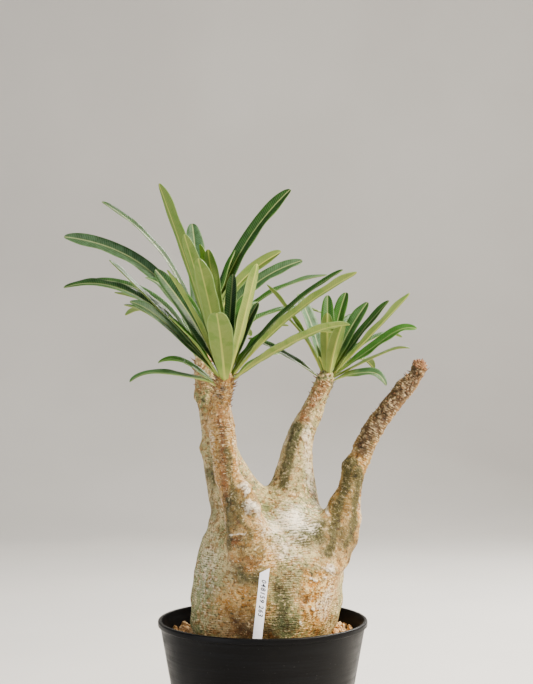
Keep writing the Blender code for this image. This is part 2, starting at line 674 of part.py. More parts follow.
def gravel_height(x, y):
    """The gravel's top: the highest of seeded round pebbles at each place."""
    draw = np.random.default_rng(SOIL_SEED)
    reach = int(RIM_RADIUS / PEBBLE_PITCH) + 1
    cells = [(i, j) for i in range(-reach, reach + 1) for j in range(-reach, reach + 1)]
    wander = draw.uniform(-PEBBLE_WANDER, PEBBLE_WANDER, (len(cells), 2))
    places = (np.array(cells) + wander) * PEBBLE_PITCH
    rises = draw.uniform(PEBBLE_LOWEST, 1.0, len(cells)) * PEBBLE_HEIGHT
    far = np.hypot(x[:, None] - places[:, 0], y[:, None] - places[:, 1])
    cap = 1 - (far / (PEBBLE_SPREAD * PEBBLE_PITCH)) ** 2
    return (rises * np.sqrt(np.clip(cap, 0, 1))).max(1)


def build_soil(trunk, tag_cutter):
    """The gravel: a plug that fills the pot, with plain holes for the trunk and the tag."""
    floor = POT_FLOOR + FLOOR_CORNER + GAP
    outer = [(wall_radius(z) - WALL - GAP, z) for z in (floor, SOIL_TOP)]
    edge = outer[-1][0]
    angle = np.arange(SOIL_SIDES) * 2 * math.pi / SOIL_SIDES
    rings = [np.stack([radius * np.cos(angle), radius * np.sin(angle), np.full(SOIL_SIDES, z)], -1)
             for radius, z in outer]
    for k in range(1, SOIL_RINGS):
        radius = edge - k * (edge - SOIL_INNER_RADIUS) / (SOIL_RINGS - 1)
        shifted = angle + 0.5 * (k % 2) * angle[1]
        x = radius * np.cos(shifted)
        y = radius * np.sin(shifted)
        rings.append(np.stack([x, y, SOIL_TOP + gravel_height(x, y)], -1))
    soil = mesh_object("soil", np.vstack(rings), rings_to_faces(len(rings), SOIL_SIDES))
    triangulate(soil)
    grown = object_of("grown_trunk", trunk.data.copy())
    normals = np.empty(len(grown.data.vertices) * 3)
    points = normals.copy()
    grown.data.vertices.foreach_get("co", points)
    grown.data.vertices.foreach_get("normal", normals)
    grown.data.vertices.foreach_set("co", points + SOIL_CLEARANCE * normals)
    mesh = outer_shell(cut(soil, [grown, tag_cutter], "DIFFERENCE", "MANIFOLD"))
    return object_of("soil", mesh, pumice_gravel(), 35)


def triangulate(obj):
    """Split the faces, so that a bent quad reads the same everywhere."""
    shape = bmesh.new()
    shape.from_mesh(obj.data)
    bmesh.ops.triangulate(shape, faces=shape.faces)
    shape.to_mesh(obj.data)
    shape.free()


def tag_plate(name, grow, material=None):
    """The tag's plate, cut slanting at its top and pointed below, standing where it leans."""
    half = TAG_WIDTH / 2 + grow
    bottom = -TAG_LENGTH - grow
    outline = [(-half, -TAG_SLANT), (-half, bottom + TAG_POINT), (0, bottom),
               (half, bottom + TAG_POINT), (half, 0)]
    depth = TAG_THICKNESS / 2 + grow
    points = [(x, side * depth, z) for side in (-1, 1) for x, z in outline]
    count = len(outline)
    faces = [tuple(range(count)), tuple(range(2 * count - 1, count - 1, -1))]
    faces += [(k, (k + 1) % count, count + (k + 1) % count, count + k) for k in range(count)]
    plate = mesh_object(name, points, faces, material)
    lean = Matrix.Rotation(TAG_LEAN_RIGHT, 4, "Y") @ Matrix.Rotation(-TAG_LEAN_BACK, 4, "X")
    plate.data.transform(Matrix.Translation(TAG_TOP) @ lean)
    return plate


def main():
    for obj in list(bpy.data.objects):
        bpy.data.objects.remove(obj)
    paths = limb_paths()
    trunk = build_trunk(paths)
    build_soil(trunk, tag_plate("tag_slot", GAP))
    build_pot()
    tag_plate("tag", 0, white_plastic())
    build_head("front_head", paths["front"], CROWN_START["front"], FRONT_LEAVES)
    build_head("back_head", paths["back"], CROWN_START["back"], BACK_LEAVES)
    build_head("middle_head", paths["middle"], CROWN_START["middle"], MIDDLE_LEAVES)


main()
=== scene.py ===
"""The looks of a potted pachypodium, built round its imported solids.

A swollen trunk carries three heads of strap leaves and one bare arm. It stands in a black nursery
pot filled with pumice gravel, with a white plant tag. Metres, +Z up, and the front faces -Y.
"""

import logging
import math
from collections.abc import Sequence
from dataclasses import dataclass
from enum import Enum

import bmesh
import bpy
import numpy as np
from mathutils import Matrix, Vector
from numpy.typing import NDArray


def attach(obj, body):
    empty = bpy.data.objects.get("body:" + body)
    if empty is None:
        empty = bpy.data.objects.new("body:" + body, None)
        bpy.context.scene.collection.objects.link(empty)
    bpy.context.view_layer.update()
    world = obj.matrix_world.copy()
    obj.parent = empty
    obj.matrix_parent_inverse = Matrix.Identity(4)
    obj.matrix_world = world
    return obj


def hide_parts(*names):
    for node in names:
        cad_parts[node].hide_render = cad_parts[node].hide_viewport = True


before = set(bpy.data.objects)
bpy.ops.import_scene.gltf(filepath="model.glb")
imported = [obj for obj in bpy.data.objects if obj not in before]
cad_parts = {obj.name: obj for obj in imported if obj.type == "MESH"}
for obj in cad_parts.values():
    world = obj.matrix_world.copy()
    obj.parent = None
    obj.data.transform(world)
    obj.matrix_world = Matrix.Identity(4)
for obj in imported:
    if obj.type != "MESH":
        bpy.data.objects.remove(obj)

MM = 0.001
FULL_TURN = 2 * math.pi
GOLDEN_ANGLE = math.radians(137.508)
UP = np.array((0, 0, 1.0))
Array = NDArray[np.float64]
Place = tuple[float, float, float]
Knot = tuple[float, float, float, float]
Socket = bpy.types.NodeSocket

log = logging.getLogger("pachypodium")


def colour(code: str) -> tuple[float, float, float, float]:
    """A linear colour from an sRGB code.

    Args:
        code: Six hex digits, such as b9b19c.

    Returns:
        Red, green, blue and an alpha of 1.
    """
    parts = np.array([int(code[k:k + 2], 16) / 255 for k in (0, 2, 4)])
    linear = np.where(parts <= 0.04045, parts / 12.92, ((parts + 0.055) / 1.055) ** 2.4)
    return (float(linear[0]), float(linear[1]), float(linear[2]), 1.0)


def smooth(value: Array, low: float, high: float) -> Array:
    """Goes from 0 at low to 1 at high along a cubic that is level at both ends."""
    t = np.clip((value - low) / (high - low), 0, 1)
    return t * t * (3 - 2 * t)


def bell(value: Array) -> Array:
    """A bell curve: 1 at 0, falling on both sides as exp(-value squared)."""
    return np.exp(-value ** 2)


def unit(vectors: Array) -> Array:
    """The vectors, one a row, brought to length 1."""
    return vectors / np.linalg.norm(vectors, axis=1)[:, None]


def turns(sides: int) -> Array:
    """Angles evenly round a full turn."""
    return np.arange(sides) * FULL_TURN / sides


def level(angle: Array) -> Array:
    """Level directions at these angles from +X, one a row."""
    return np.stack([np.cos(angle), np.sin(angle), 0 * angle], 1)


def circles(first: Array, second: Array, sides: int) -> Array:
    """A unit circle for each row, through its first and second directions, by row and side."""
    angle = turns(sides)[None, :, None]
    return np.cos(angle) * first[:, None] + np.sin(angle) * second[:, None]


def arc(x: float, z: float, radius: float, start: float, end: float, steps: int) -> list[tuple[float, float]]:
    """Points on a circle between two angles in degrees, as (radius, height)."""
    angle = np.radians(np.linspace(start, end, steps + 1))
    return list(zip(x + radius * np.cos(angle), z + radius * np.sin(angle)))


def ripple(points: Array, wavelength: float, seed: int, waves: int = 14) -> Array:
    """A smooth random field between about -1 and 1.

    It is a sum of sines along seeded directions, each with a wavelength near the given one.

    Args:
        points: Places, one a row.
        wavelength: The middle wavelength in metres.
        seed: Seed of the directions, wavelengths and phases.
        waves: How many sines are added.

    Returns:
        The field at each place.
    """
    draw = np.random.default_rng(seed)
    directions = unit(draw.normal(size=(waves, 3)))
    rates = FULL_TURN / (wavelength * draw.uniform(0.75, 1.4, waves))
    phases = draw.uniform(0, FULL_TURN, waves)
    return np.sin(points @ (directions * rates[:, None]).T + phases).sum(1) / math.sqrt(waves)


def smooth_path(knots: Array, step: float) -> Array:
    """A Catmull-Rom curve: between two knots, the cubic whose slopes are half the spans around them.

    Args:
        knots: Rows of place and radius.
        step: The distance between the curve's points in metres.

    Returns:
        Rows of place and radius along the curve.
    """
    padded = np.vstack([2 * knots[0] - knots[1], knots, 2 * knots[-1] - knots[-2]])
    rows = []
    for k in range(1, len(padded) - 2):
        before, start, end, after = padded[k - 1:k + 3]
        count = max(1, round(float(np.linalg.norm((end - start)[:3])) / step))
        t = np.linspace(0, 1, count, endpoint=False)[:, None]
        rows.append(0.5 * (2 * start + (end - before) * t
                           + (2 * before - 5 * start + 4 * end - after) * t ** 2
                           + (3 * start - before - 3 * end + after) * t ** 3))
    rows.append(knots[-1:])
    return np.vstack(rows)


def run_length(path: Array) -> Array:
    """The distance along a path at each of its points."""
    return np.append(0, np.cumsum(np.linalg.norm(np.diff(path[:, :3], axis=0), axis=1)))


def below_end(path: Array, down: Array) -> Array:
    """Rows of place and radius at these lengths down from a path's end."""
    run = run_length(path)
    return np.stack([np.interp(run[-1] - down, run, path[:, i]) for i in range(4)], 1)


def chain_distance(points: Array, path: Array) -> tuple[Array, Array, Array]:
    """Distance outside a chain of balls along a path.

    Args:
        points: Places, one a row.
        path: Rows of place and radius.

    Returns:
        The distance, the way out of the chain and the place along its path, for each point.
    """
    nearest = np.full(len(points), 1e9)
    outward = np.zeros_like(points)
    along = np.zeros(len(points))
    run = run_length(path)
    for k in range(len(path) - 1):
        start, end = path[k], path[k + 1]
        span = end[:3] - start[:3]
        t = np.clip((points - start[:3]) @ span / (span @ span), 0, 1)
        offset = points - start[:3] - t[:, None] * span
        far = np.linalg.norm(offset, axis=1)
        gap = far - start[3] - t * (end[3] - start[3])
        closer = gap < nearest
        nearest[closer] = gap[closer]
        outward[closer] = offset[closer] / np.maximum(far[closer], 1e-6)[:, None]
        along[closer] = run[k] + t[closer] * (run[k + 1] - run[k])
    return nearest, outward, along


def drawn_distance(points: Array, places: Sequence[Place]) -> Array:
    """Distance from a line drawn on the front, in which depth counts by only a sixth.

    Args:
        points: Places, one a row.
        places: The line's knots in millimetres.

    Returns:
        The distance of each point.
    """
    seen = np.array((1, 0.16, 1))
    line = smooth_path(np.array([(*place, 0.0) for place in places]) * MM, 4 * MM)
    line[:, :3] *= seen
    return chain_distance(points * seen, line)[0]


def tube_faces(count: int, rows: int, sides: int) -> list[Array]:
    """Faces of closed tubes that follow each other in one point list.

    Args:
        count: How many tubes.
        rows: Rings in each tube.
        sides: Points in each ring.

    Returns:
        The quads between rings, and the two caps of each tube.
    """
    first = np.arange(count)[:, None, None] * rows * sides
    ring = np.arange(rows - 1)[None, :, None] * sides
    side = np.arange(sides)[None, None, :]
    a = first + ring + side
    b = first + ring + (side + 1) % sides
    quads = np.stack([a, b, b + sides, a + sides], -1).reshape(-1, 4)
    start = first[:, 0] + np.arange(sides)[::-1]
    end = first[:, 0] + (rows - 1) * sides + np.arange(sides)
    return [quads, start, end]


def piece_from(name: str, points: Array, faces: Sequence[Array], values: dict[str, Array] | None = None,
               sharp_angle: float = 180.0) -> bpy.types.Object:
    """An object from whole arrays, with its place in its mesh.

    Args:
        name: The piece's name.
        points: Places, one a row.
        faces: Arrays of point numbers, one face a row.
        values: Per-point numbers or vectors that the material reads by name.
        sharp_angle: Edges that bend more than this many degrees stay crisp.

    Returns:
        The object, linked to the scene.
    """
    mesh = bpy.data.meshes.new(name)
    corners = np.concatenate([part.ravel() for part in faces])
    sizes = np.concatenate([np.full(len(part), part.shape[1]) for part in faces])
    mesh.vertices.add(len(points))
    mesh.vertices.foreach_set("co", points.astype(np.float32).ravel())
    mesh.loops.add(len(corners))
    mesh.loops.foreach_set("vertex_index", corners.astype(np.int32))
    mesh.polygons.add(len(sizes))
    mesh.polygons.foreach_set("loop_start", np.append(0, np.cumsum(sizes)[:-1]).astype(np.int32))
    mesh.update(calc_edges=True)
    mesh.validate()
    carry(mesh, values or {})
    return linked(name, mesh, sharp_angle)


def carry(mesh: bpy.types.Mesh, values: dict[str, Array]) -> None:
    """Stores numbers or vectors on a mesh's points, for its material to read.

    Args:
        mesh: The mesh that gets them.
        values: A number or a vector for each point, by name.
    """
    for key, value in values.items():
        kind, slot = ("FLOAT", "value") if value.ndim == 1 else ("FLOAT_VECTOR", "vector")
        mesh.attributes.new(key, kind, "POINT").data.foreach_set(slot, value.astype(np.float32).ravel())


def placed(name: str, data: bpy.types.ID) -> bpy.types.Object:
    """A new object in the scene.

    Args:
        name: The object's name.
        data: The mesh, curve, light or camera that it shows.

    Returns:
        The object.
    """
    made = bpy.data.objects.new(name, data)
    bpy.context.scene.collection.objects.link(made)
    return made


def linked(name: str, mesh: bpy.types.Mesh, sharp_angle: float) -> bpy.types.Object:
    """Puts a mesh into the scene with its faces outward.

    Args:
        name: The piece's name.
        mesh: Its mesh.
        sharp_angle: Edges that bend more than this many degrees stay crisp.

    Returns:
        The object.
    """
    mesh.name = name
    shape = bmesh.new()
    shape.from_mesh(mesh)
    bmesh.ops.recalc_face_normals(shape, faces=shape.faces)
    shape.to_mesh(mesh)
    shape.free()
    mesh.shade_smooth()
    if sharp_angle < 180:
        mesh.set_sharp_from_angle(angle=math.radians(sharp_angle))
    return placed(name, mesh)


def applied(piece: bpy.types.Object) -> bpy.types.Mesh:
    """Applies a piece's modifiers and removes the piece.

    Args:
        piece: The object with its modifiers.

    Returns:
        The mesh that they make.
    """
    bpy.context.view_layer.update()
    graph = bpy.context.evaluated_depsgraph_get()
    mesh = bpy.data.meshes.new_from_object(piece.evaluated_get(graph))
    bpy.data.objects.remove(piece)
    return mesh


def tube_piece(name: str, path: Array, sides: int) -> bpy.types.Object:
    """A closed round tube: each ring is the path's point plus radius times a circle square to it.

    Args:
        name: The piece's name.
        path: Rows of place and radius.
        sides: Points in each ring.

    Returns:
        The object.
    """
    heading = unit(np.gradient(path[:, :3], axis=0))
    first = unit(np.cross(heading, (0, 1, 0)))
    ring = circles(first, np.cross(heading, first), sides)
    points = path[:, None, :3] + path[:, 3, None, None] * ring
    return piece_from(name, points.reshape(-1, 3), tube_faces(1, len(path), sides))


class Recipe:
    """One Principled material, put together from short calls."""

    def __init__(self, name: str) -> None:
        """Starts a material with a bare Principled shader."""
        self.material = bpy.data.materials.new(name)
        self.material.use_nodes = True
        self.tree = self.material.node_tree
        self.shader = self.tree.nodes["Principled BSDF"]
        self.place = self.node("ShaderNodeTexCoord").outputs["Object"]

    def plug(self, socket: Socket, value: object) -> None:
        """Links a socket, or sets its own value.

        Args:
            socket: The input.
            value: A socket to link, a number, a vector or a colour's code.
        """
        if isinstance(value, bpy.types.NodeSocket):
            self.tree.links.new(value, socket)
        else:
            socket.default_value = colour(value) if isinstance(value, str) else value

    def node(self, kind: str, inputs: dict[int | str, object] | None = None,
             **settings: object) -> bpy.types.Node:
        """Adds a node.

        Args:
            kind: The node's type.
            inputs: Sockets or values, by the input's name or number.
            settings: Values of the node's own properties.

        Returns:
            The node.
        """
        made = self.tree.nodes.new(kind)
        for key, value in settings.items():
            setattr(made, key, value)
        for key, value in (inputs or {}).items():
            self.plug(made.inputs[key], value)
        return made

    def calc(self, operation: str, a: object, b: object = 0.0, clamp: bool = False) -> Socket:
        """One Math node."""
        return self.node("ShaderNodeMath", {0: a, 1: b}, operation=operation, use_clamp=clamp).outputs[0]

    def plus(self, a: object, b: object) -> Socket:
        """Two numbers added."""
        return self.calc("ADD", a, b)

    def minus(self, a: object, b: object, clamp: bool = False) -> Socket:
        """The first number less the second."""
        return self.calc("SUBTRACT", a, b, clamp)

    def times(self, a: object, b: object) -> Socket:
        """Two numbers multiplied."""
        return self.calc("MULTIPLY", a, b)

    def scaled(self, vector: object, factors: Place) -> Socket:
        """A vector times a factor for each axis."""
        return self.node("ShaderNodeVectorMath", {0: vector, 1: factors}, operation="MULTIPLY").outputs[0]

    def noise(self, scale: float, detail: float = 2.0, rough: float = 0.5, vector: object = None,
              twist: float = 0.0) -> Socket:
        """Noise between about 0.25 and 0.75.

        Args:
            scale: Repeats a metre.
            detail: How many finer layers lie on it.
            rough: How strong the finer layers are.
            vector: Where it is read, or else the point's place.
            twist: How far it is distorted.

        Returns:
            The noise as a number.
        """
        inputs = {"Vector": self.place if vector is None else vector, "Scale": scale, "Detail": detail,
                  "Roughness": rough, "Distortion": twist}
        return self.node("ShaderNodeTexNoise", inputs).outputs["Fac"]

    def cells(self, scale: float) -> Socket:
        """The distance to the nearest of scattered points."""
        inputs = {"Vector": self.place, "Scale": scale}
        return self.node("ShaderNodeTexVoronoi", inputs, feature="F1").outputs["Distance"]

    def step(self, value: Socket, low: float, high: float, start: float = 0.0, end: float = 1.0) -> Socket:
        """Goes smoothly from start, where value is low, to end, where it is high."""
        inputs = {"Value": value, "From Min": low, "From Max": high, "To Min": start, "To Max": end}
        return self.node("ShaderNodeMapRange", inputs, interpolation_type="SMOOTHSTEP").outputs["Result"]

    def mix(self, factor: object, a: object, b: object) -> Socket:
        """A colour that goes from a to b."""
        return self.node("ShaderNodeMix", {0: factor, 6: a, 7: b}, data_type="RGBA").outputs[2]

    def value(self, name: str) -> Socket:
        """A number that each point of the piece carries."""
        return self.node("ShaderNodeAttribute", attribute_name=name).outputs["Fac"]

    def vector(self, name: str) -> tuple[Socket, Socket, Socket]:
        """A vector that each point of the piece carries, as its three numbers."""
        carried = self.node("ShaderNodeAttribute", attribute_name=name).outputs["Vector"]
        parts = self.node("ShaderNodeSeparateXYZ", {0: carried}).outputs
        return parts[0], parts[1], parts[2]

    def joined(self, x: object, y: object, z: object) -> Socket:
        """Three numbers as a vector."""
        return self.node("ShaderNodeCombineXYZ", {0: x, 1: y, 2: z}).outputs[0]

    def bump(self, height: Socket, distance: float) -> None:
        """Raises the surface, on top of any bump before.

        Args:
            height: The height as a number.
            distance: How far a height of 1 stands out.
        """
        made = self.node("ShaderNodeBump", {"Distance": distance, "Height": height})
        before = self.shader.inputs["Normal"]
        if before.is_linked:
            self.plug(made.inputs["Normal"], before.links[0].from_socket)
        self.plug(before, made.outputs[0])

    def finish(self, base: object, rough: object, sheen: float = 0.5) -> bpy.types.Material:
        """Sets the shader's main values.

        Args:
            base: The colour.
            rough: The roughness.
            sheen: How strongly it mirrors light.

        Returns:
            The material.
        """
        for key, value in (("Base Color", base), ("Roughness", rough), ("Specular IOR Level", sheen)):
            self.plug(self.shader.inputs[key], value)
        return self.material


class Stain(Enum):
    """What a patch of bark shows."""

    # Olive skin, and in some patches painted shade.
    OLIVE_AND_SHADE = "olive"
    GOLD = "gold"
    RUST = "rust"
    UMBER = "umber"
    # Pale skin, and along some edges painted highlight.
    PALE_AND_HIGHLIGHT = "pale"


@dataclass(frozen=True)
class Patch:
    """A soft-edged patch of a stain: its middle and reach in millimetres, and its strength."""

    middle: Place
    reach: Place
    strength: float

    def cover(self, points: Array, drift: Array) -> Array:
        """How much stain lies at each point, moved by drift: a bell in each direction."""
        away = (points + drift - np.array(self.middle) * MM) / (np.array(self.reach) * MM)
        return self.strength * np.exp(-(away ** 2).sum(1))


@dataclass(frozen=True)
class Stroke:
    """A soft line of a stain, drawn on the front: places and width in millimetres, and its strength."""

    places: tuple[Place, ...]
    width: float
    strength: float

    def cover(self, points: Array, drift: Array) -> Array:
        """How much stain lies at each point, moved by 0.4 of drift: a bell of the distance from the line."""
        return self.strength * bell(drawn_distance(points + 0.4 * drift, self.places) / (self.width * MM))


STAINS: dict[Stain, tuple[Patch | Stroke, ...]] = {
    Stain.OLIVE_AND_SHADE: (
        Patch((-37, 2, 226), (9, 18, 14), 0.9), Patch((-38, -4, 206), (8, 18, 12), 0.7),
        # Patches at (35, -30, 190) and (46, -36, 178): olive skin with painted shadow in the hollow left of
        # the bare arm's foot.
        Patch((4, -34, 213), (12, 16, 8), 0.9), Patch((35, -30, 190), (12, 20, 9), 1.55),
        Patch((46, -36, 178), (12, 16, 9), 0.7), Patch((14, -46, 138), (8, 18, 24), 1.35),
        Patch((-17, -47, 206), (8, 12, 18), 0.85), Patch((60, -18, 212), (8, 20, 32), 0.6),
        Patch((55, -28, 187), (12, 20, 13), 0.8), Patch((-8, -46, 164), (18, 16, 8), 0.8),
        Patch((-7, -47, 181), (12, 16, 9), 0.7), Patch((-40, -30, 150), (12, 18, 12), 0.5),
        Patch((16, -40, 162), (18, 16, 9), 0.6), Patch((20, 46, 170), (30, 20, 22), 0.7),
        # Patch at (58, -20, 182): olive skin with painted shade under the bare arm's foot.
        Patch((58, -20, 182), (12, 20, 12), 0.85), Patch((-10, -47, 192), (14, 16, 7), 0.7),
        Patch((-26, -44, 160), (10, 16, 10), 0.55),
        Stroke(((-24.4, -47, 248), (-22.3, -47, 232), (-19.6, -48, 218), (-17, -48, 207), (-12.7, -48, 197),
                (-7, -47, 190)), 3.4, 0.85),
        Stroke(((-21.7, -48, 215), (-22.3, -48, 205), (-23, -47, 194), (-20.3, -47, 181)), 3.0, 0.9),
        # This stroke down the middle arm's left side is olive skin with painted shade on its shaded side.
        Stroke(((25.4, 8, 263), (22.6, 7, 253), (19.6, 5, 242), (16.8, 3, 231), (14.4, 0, 221)), 3.8, 1.6),
        Stroke(((-1, -36, 217), (5, -35, 212), (13, -35, 205)), 2.4, 1.1),
        Stroke(((-3, -38, 212), (1, -38, 208), (5, -38, 203)), 1.8, 0.9),
        Stroke(((62.4, -14, 239), (60.3, -15, 227), (57.5, -18, 217), (54, -22, 207.5), (51, -26, 196),
                (49.7, -29, 185), (46, -32, 176)), 4.4, 1.15),
        Stroke(((67.4, -13, 233), (66.7, -13, 219), (66, -14, 207), (63, -18, 194), (59.6, -22, 180)),
               3.6, 1.1),
    ),
    Stain.GOLD: (
        Patch((40, -36, 144), (15, 22, 23), 1.4), Patch((-20, 46, 140), (26, 20, 26), 0.7),
        Patch((-4, -46, 176), (24, 18, 20), 0.75), Patch((60, -18, 184), (16, 22, 18), 0.35),
        Patch((-20, -46, 140), (32, 18, 24), 0.85),
        Stroke(((-27, -47, 270), (-27, -47, 240), (-24, -48, 215), (-20, -48, 195)), 6.0, 0.8),
        Stroke(((-13.4, -48, 184), (-5.2, -48, 177), (4, -47, 174)), 9.0, 0.85),
        Stroke(((70, -12, 214), (70.5, -14, 204), (70.5, -14, 194), (68, -16, 180), (64, -18, 169)),
               4.0, 1.0),
        Stroke(((68, -13, 244), (72, -12, 252), (80, -12, 264)), 4.0, 0.7),
        Stroke(((77, -14, 246), (88, -14, 264), (103, -14, 283), (114, -14, 298)), 4.0, 0.6),
    ),
    Stain.RUST: (
        Patch((-17, -47, 186.5), (6, 12, 5), 1.1), Patch((-16, -47, 131), (22, 18, 16), 0.35),
        Patch((-8, -46, 172), (16, 14, 8), 0.6), Patch((-29, -44, 274), (9, 12, 12), 0.8),
        Patch((-42, 10, 294), (9, 14, 20), 0.6), Patch((14, -46, 184), (10, 14, 6), 0.5),
        Patch((29, -46, 142), (4, 12, 8), 0.7),
        Stroke(((-30, -46, 278), (-28.5, -47, 263), (-27, -47, 246), (-26.5, -47, 232), (-25, -48, 222),
                (-22.3, -48, 212)), 3.4, 0.85),
        Stroke(((44, 12, 292), (35.5, 10, 278), (30, 8, 268.6)), 5.5, 0.75),
        Stroke(((80, -13, 260), (92, -13, 275), (104, -13, 290), (111, -13, 299)), 5.0, 0.7),
    ),
    Stain.UMBER: (
        Patch((14, -46, 128), (8, 18, 14), 0.5), Patch((-28, -46, 254), (8, 12, 22), 0.7),
        Patch((-22, -46, 214), (6, 12, 22), 0.6), Patch((63, -16, 226), (12, 20, 34), 0.25),
        Patch((-14, -47, 165), (18, 16, 10), 0.55), Patch((-16, -47, 130), (24, 18, 17), 0.75),
        Patch((-29, -44, 290), (9, 12, 10), 0.25), Patch((-10, -46, 124), (28, 18, 13), 0.9),
        Stroke(((-29, -47, 268), (-28, -47, 252), (-27.4, -47, 244)), 4.6, 0.5),
        Stroke(((-28.2, -44, 291.6), (-27.4, -44, 291.2)), 1.2, 2.0),
        Stroke(((-29.6, -44, 286.8), (-28.6, -44, 286)), 1.4, 2.0),
        Stroke(((71, -12, 249), (84, -12, 271), (103, -12, 294), (111, -12, 305)), 7.5, 1.15),
        Stroke(((-27, -46, 193), (-24.5, -46, 183), (-20, -46, 172)), 1.6, 0.8),
    ),
    Stain.PALE_AND_HIGHLIGHT: (
        Patch((-27, -44, 290), (9, 12, 8), 0.28), Patch((21, -30, 200), (17, 28, 13), 0.8),
        Patch((8, -30, 193), (12, 20, 8), 0.65), Patch((16, -44, 182), (14, 16, 12), 0.6),
        Patch((48, -36, 165), (5, 14, 3.4), 0.7), Patch((-44, -24, 165), (14, 22, 36), 0.38),
        Patch((46, -34, 140), (8, 14, 18), 0.65),
        # These two strokes, down the front arm's right and left edges, are cream skin with painted highlight.
        Stroke(((-21.5, -43, 280), (-20, -43, 263), (-18, -43, 248), (-16, -43, 236), (-13.4, -44, 226)),
               2.2, 0.35),
        Stroke(((-36.5, -41, 262), (-34.7, -41, 246), (-32.6, -42, 232), (-30.6, -43, 218), (-27.8, -44, 207),
                (-25.8, -44, 196)), 1.6, 0.4),
        Stroke(((-7.2, -46, 209), (-3, -45, 201), (2.4, -45, 194), (9.2, -45, 187)), 4.0, 0.45),
        # These two strokes, on the front arm's two knobs, are cream skin with painted highlight.
        Stroke(((-14.6, -45, 224.5), (-12.2, -45, 219.5)), 3.0, 0.8),
        Stroke(((-9, -44, 211.5), (-6, -44, 206)), 3.8, 0.8),
        Stroke(((-21.7, -47, 191.2), (-17, -48, 192), (-13, -48, 191.8)), 0.7, 0.75),
        # These three strokes, down both sides of the middle arm and the bare arm's right edge, are cream skin
        # with painted highlight.
        Stroke(((25.4, 10, 273), (19.7, 8, 260), (14.6, 7, 246), (8.8, 4, 231), (3.8, 0, 220)), 2.0, 0.6),
        Stroke(((32.5, 10, 260), (32, 8, 246), (33, 6, 231), (36, 2, 217)), 4.0, 0.5),
        Stroke(((70.5, -12, 212), (71, -13, 204), (71, -13, 194), (69, -15, 180), (65, -17, 169)), 2.0, 0.5),
        Stroke(((49, -12, 218), (48, -14, 210), (46, -16, 203)), 1.6, 0.8),
    ),
}


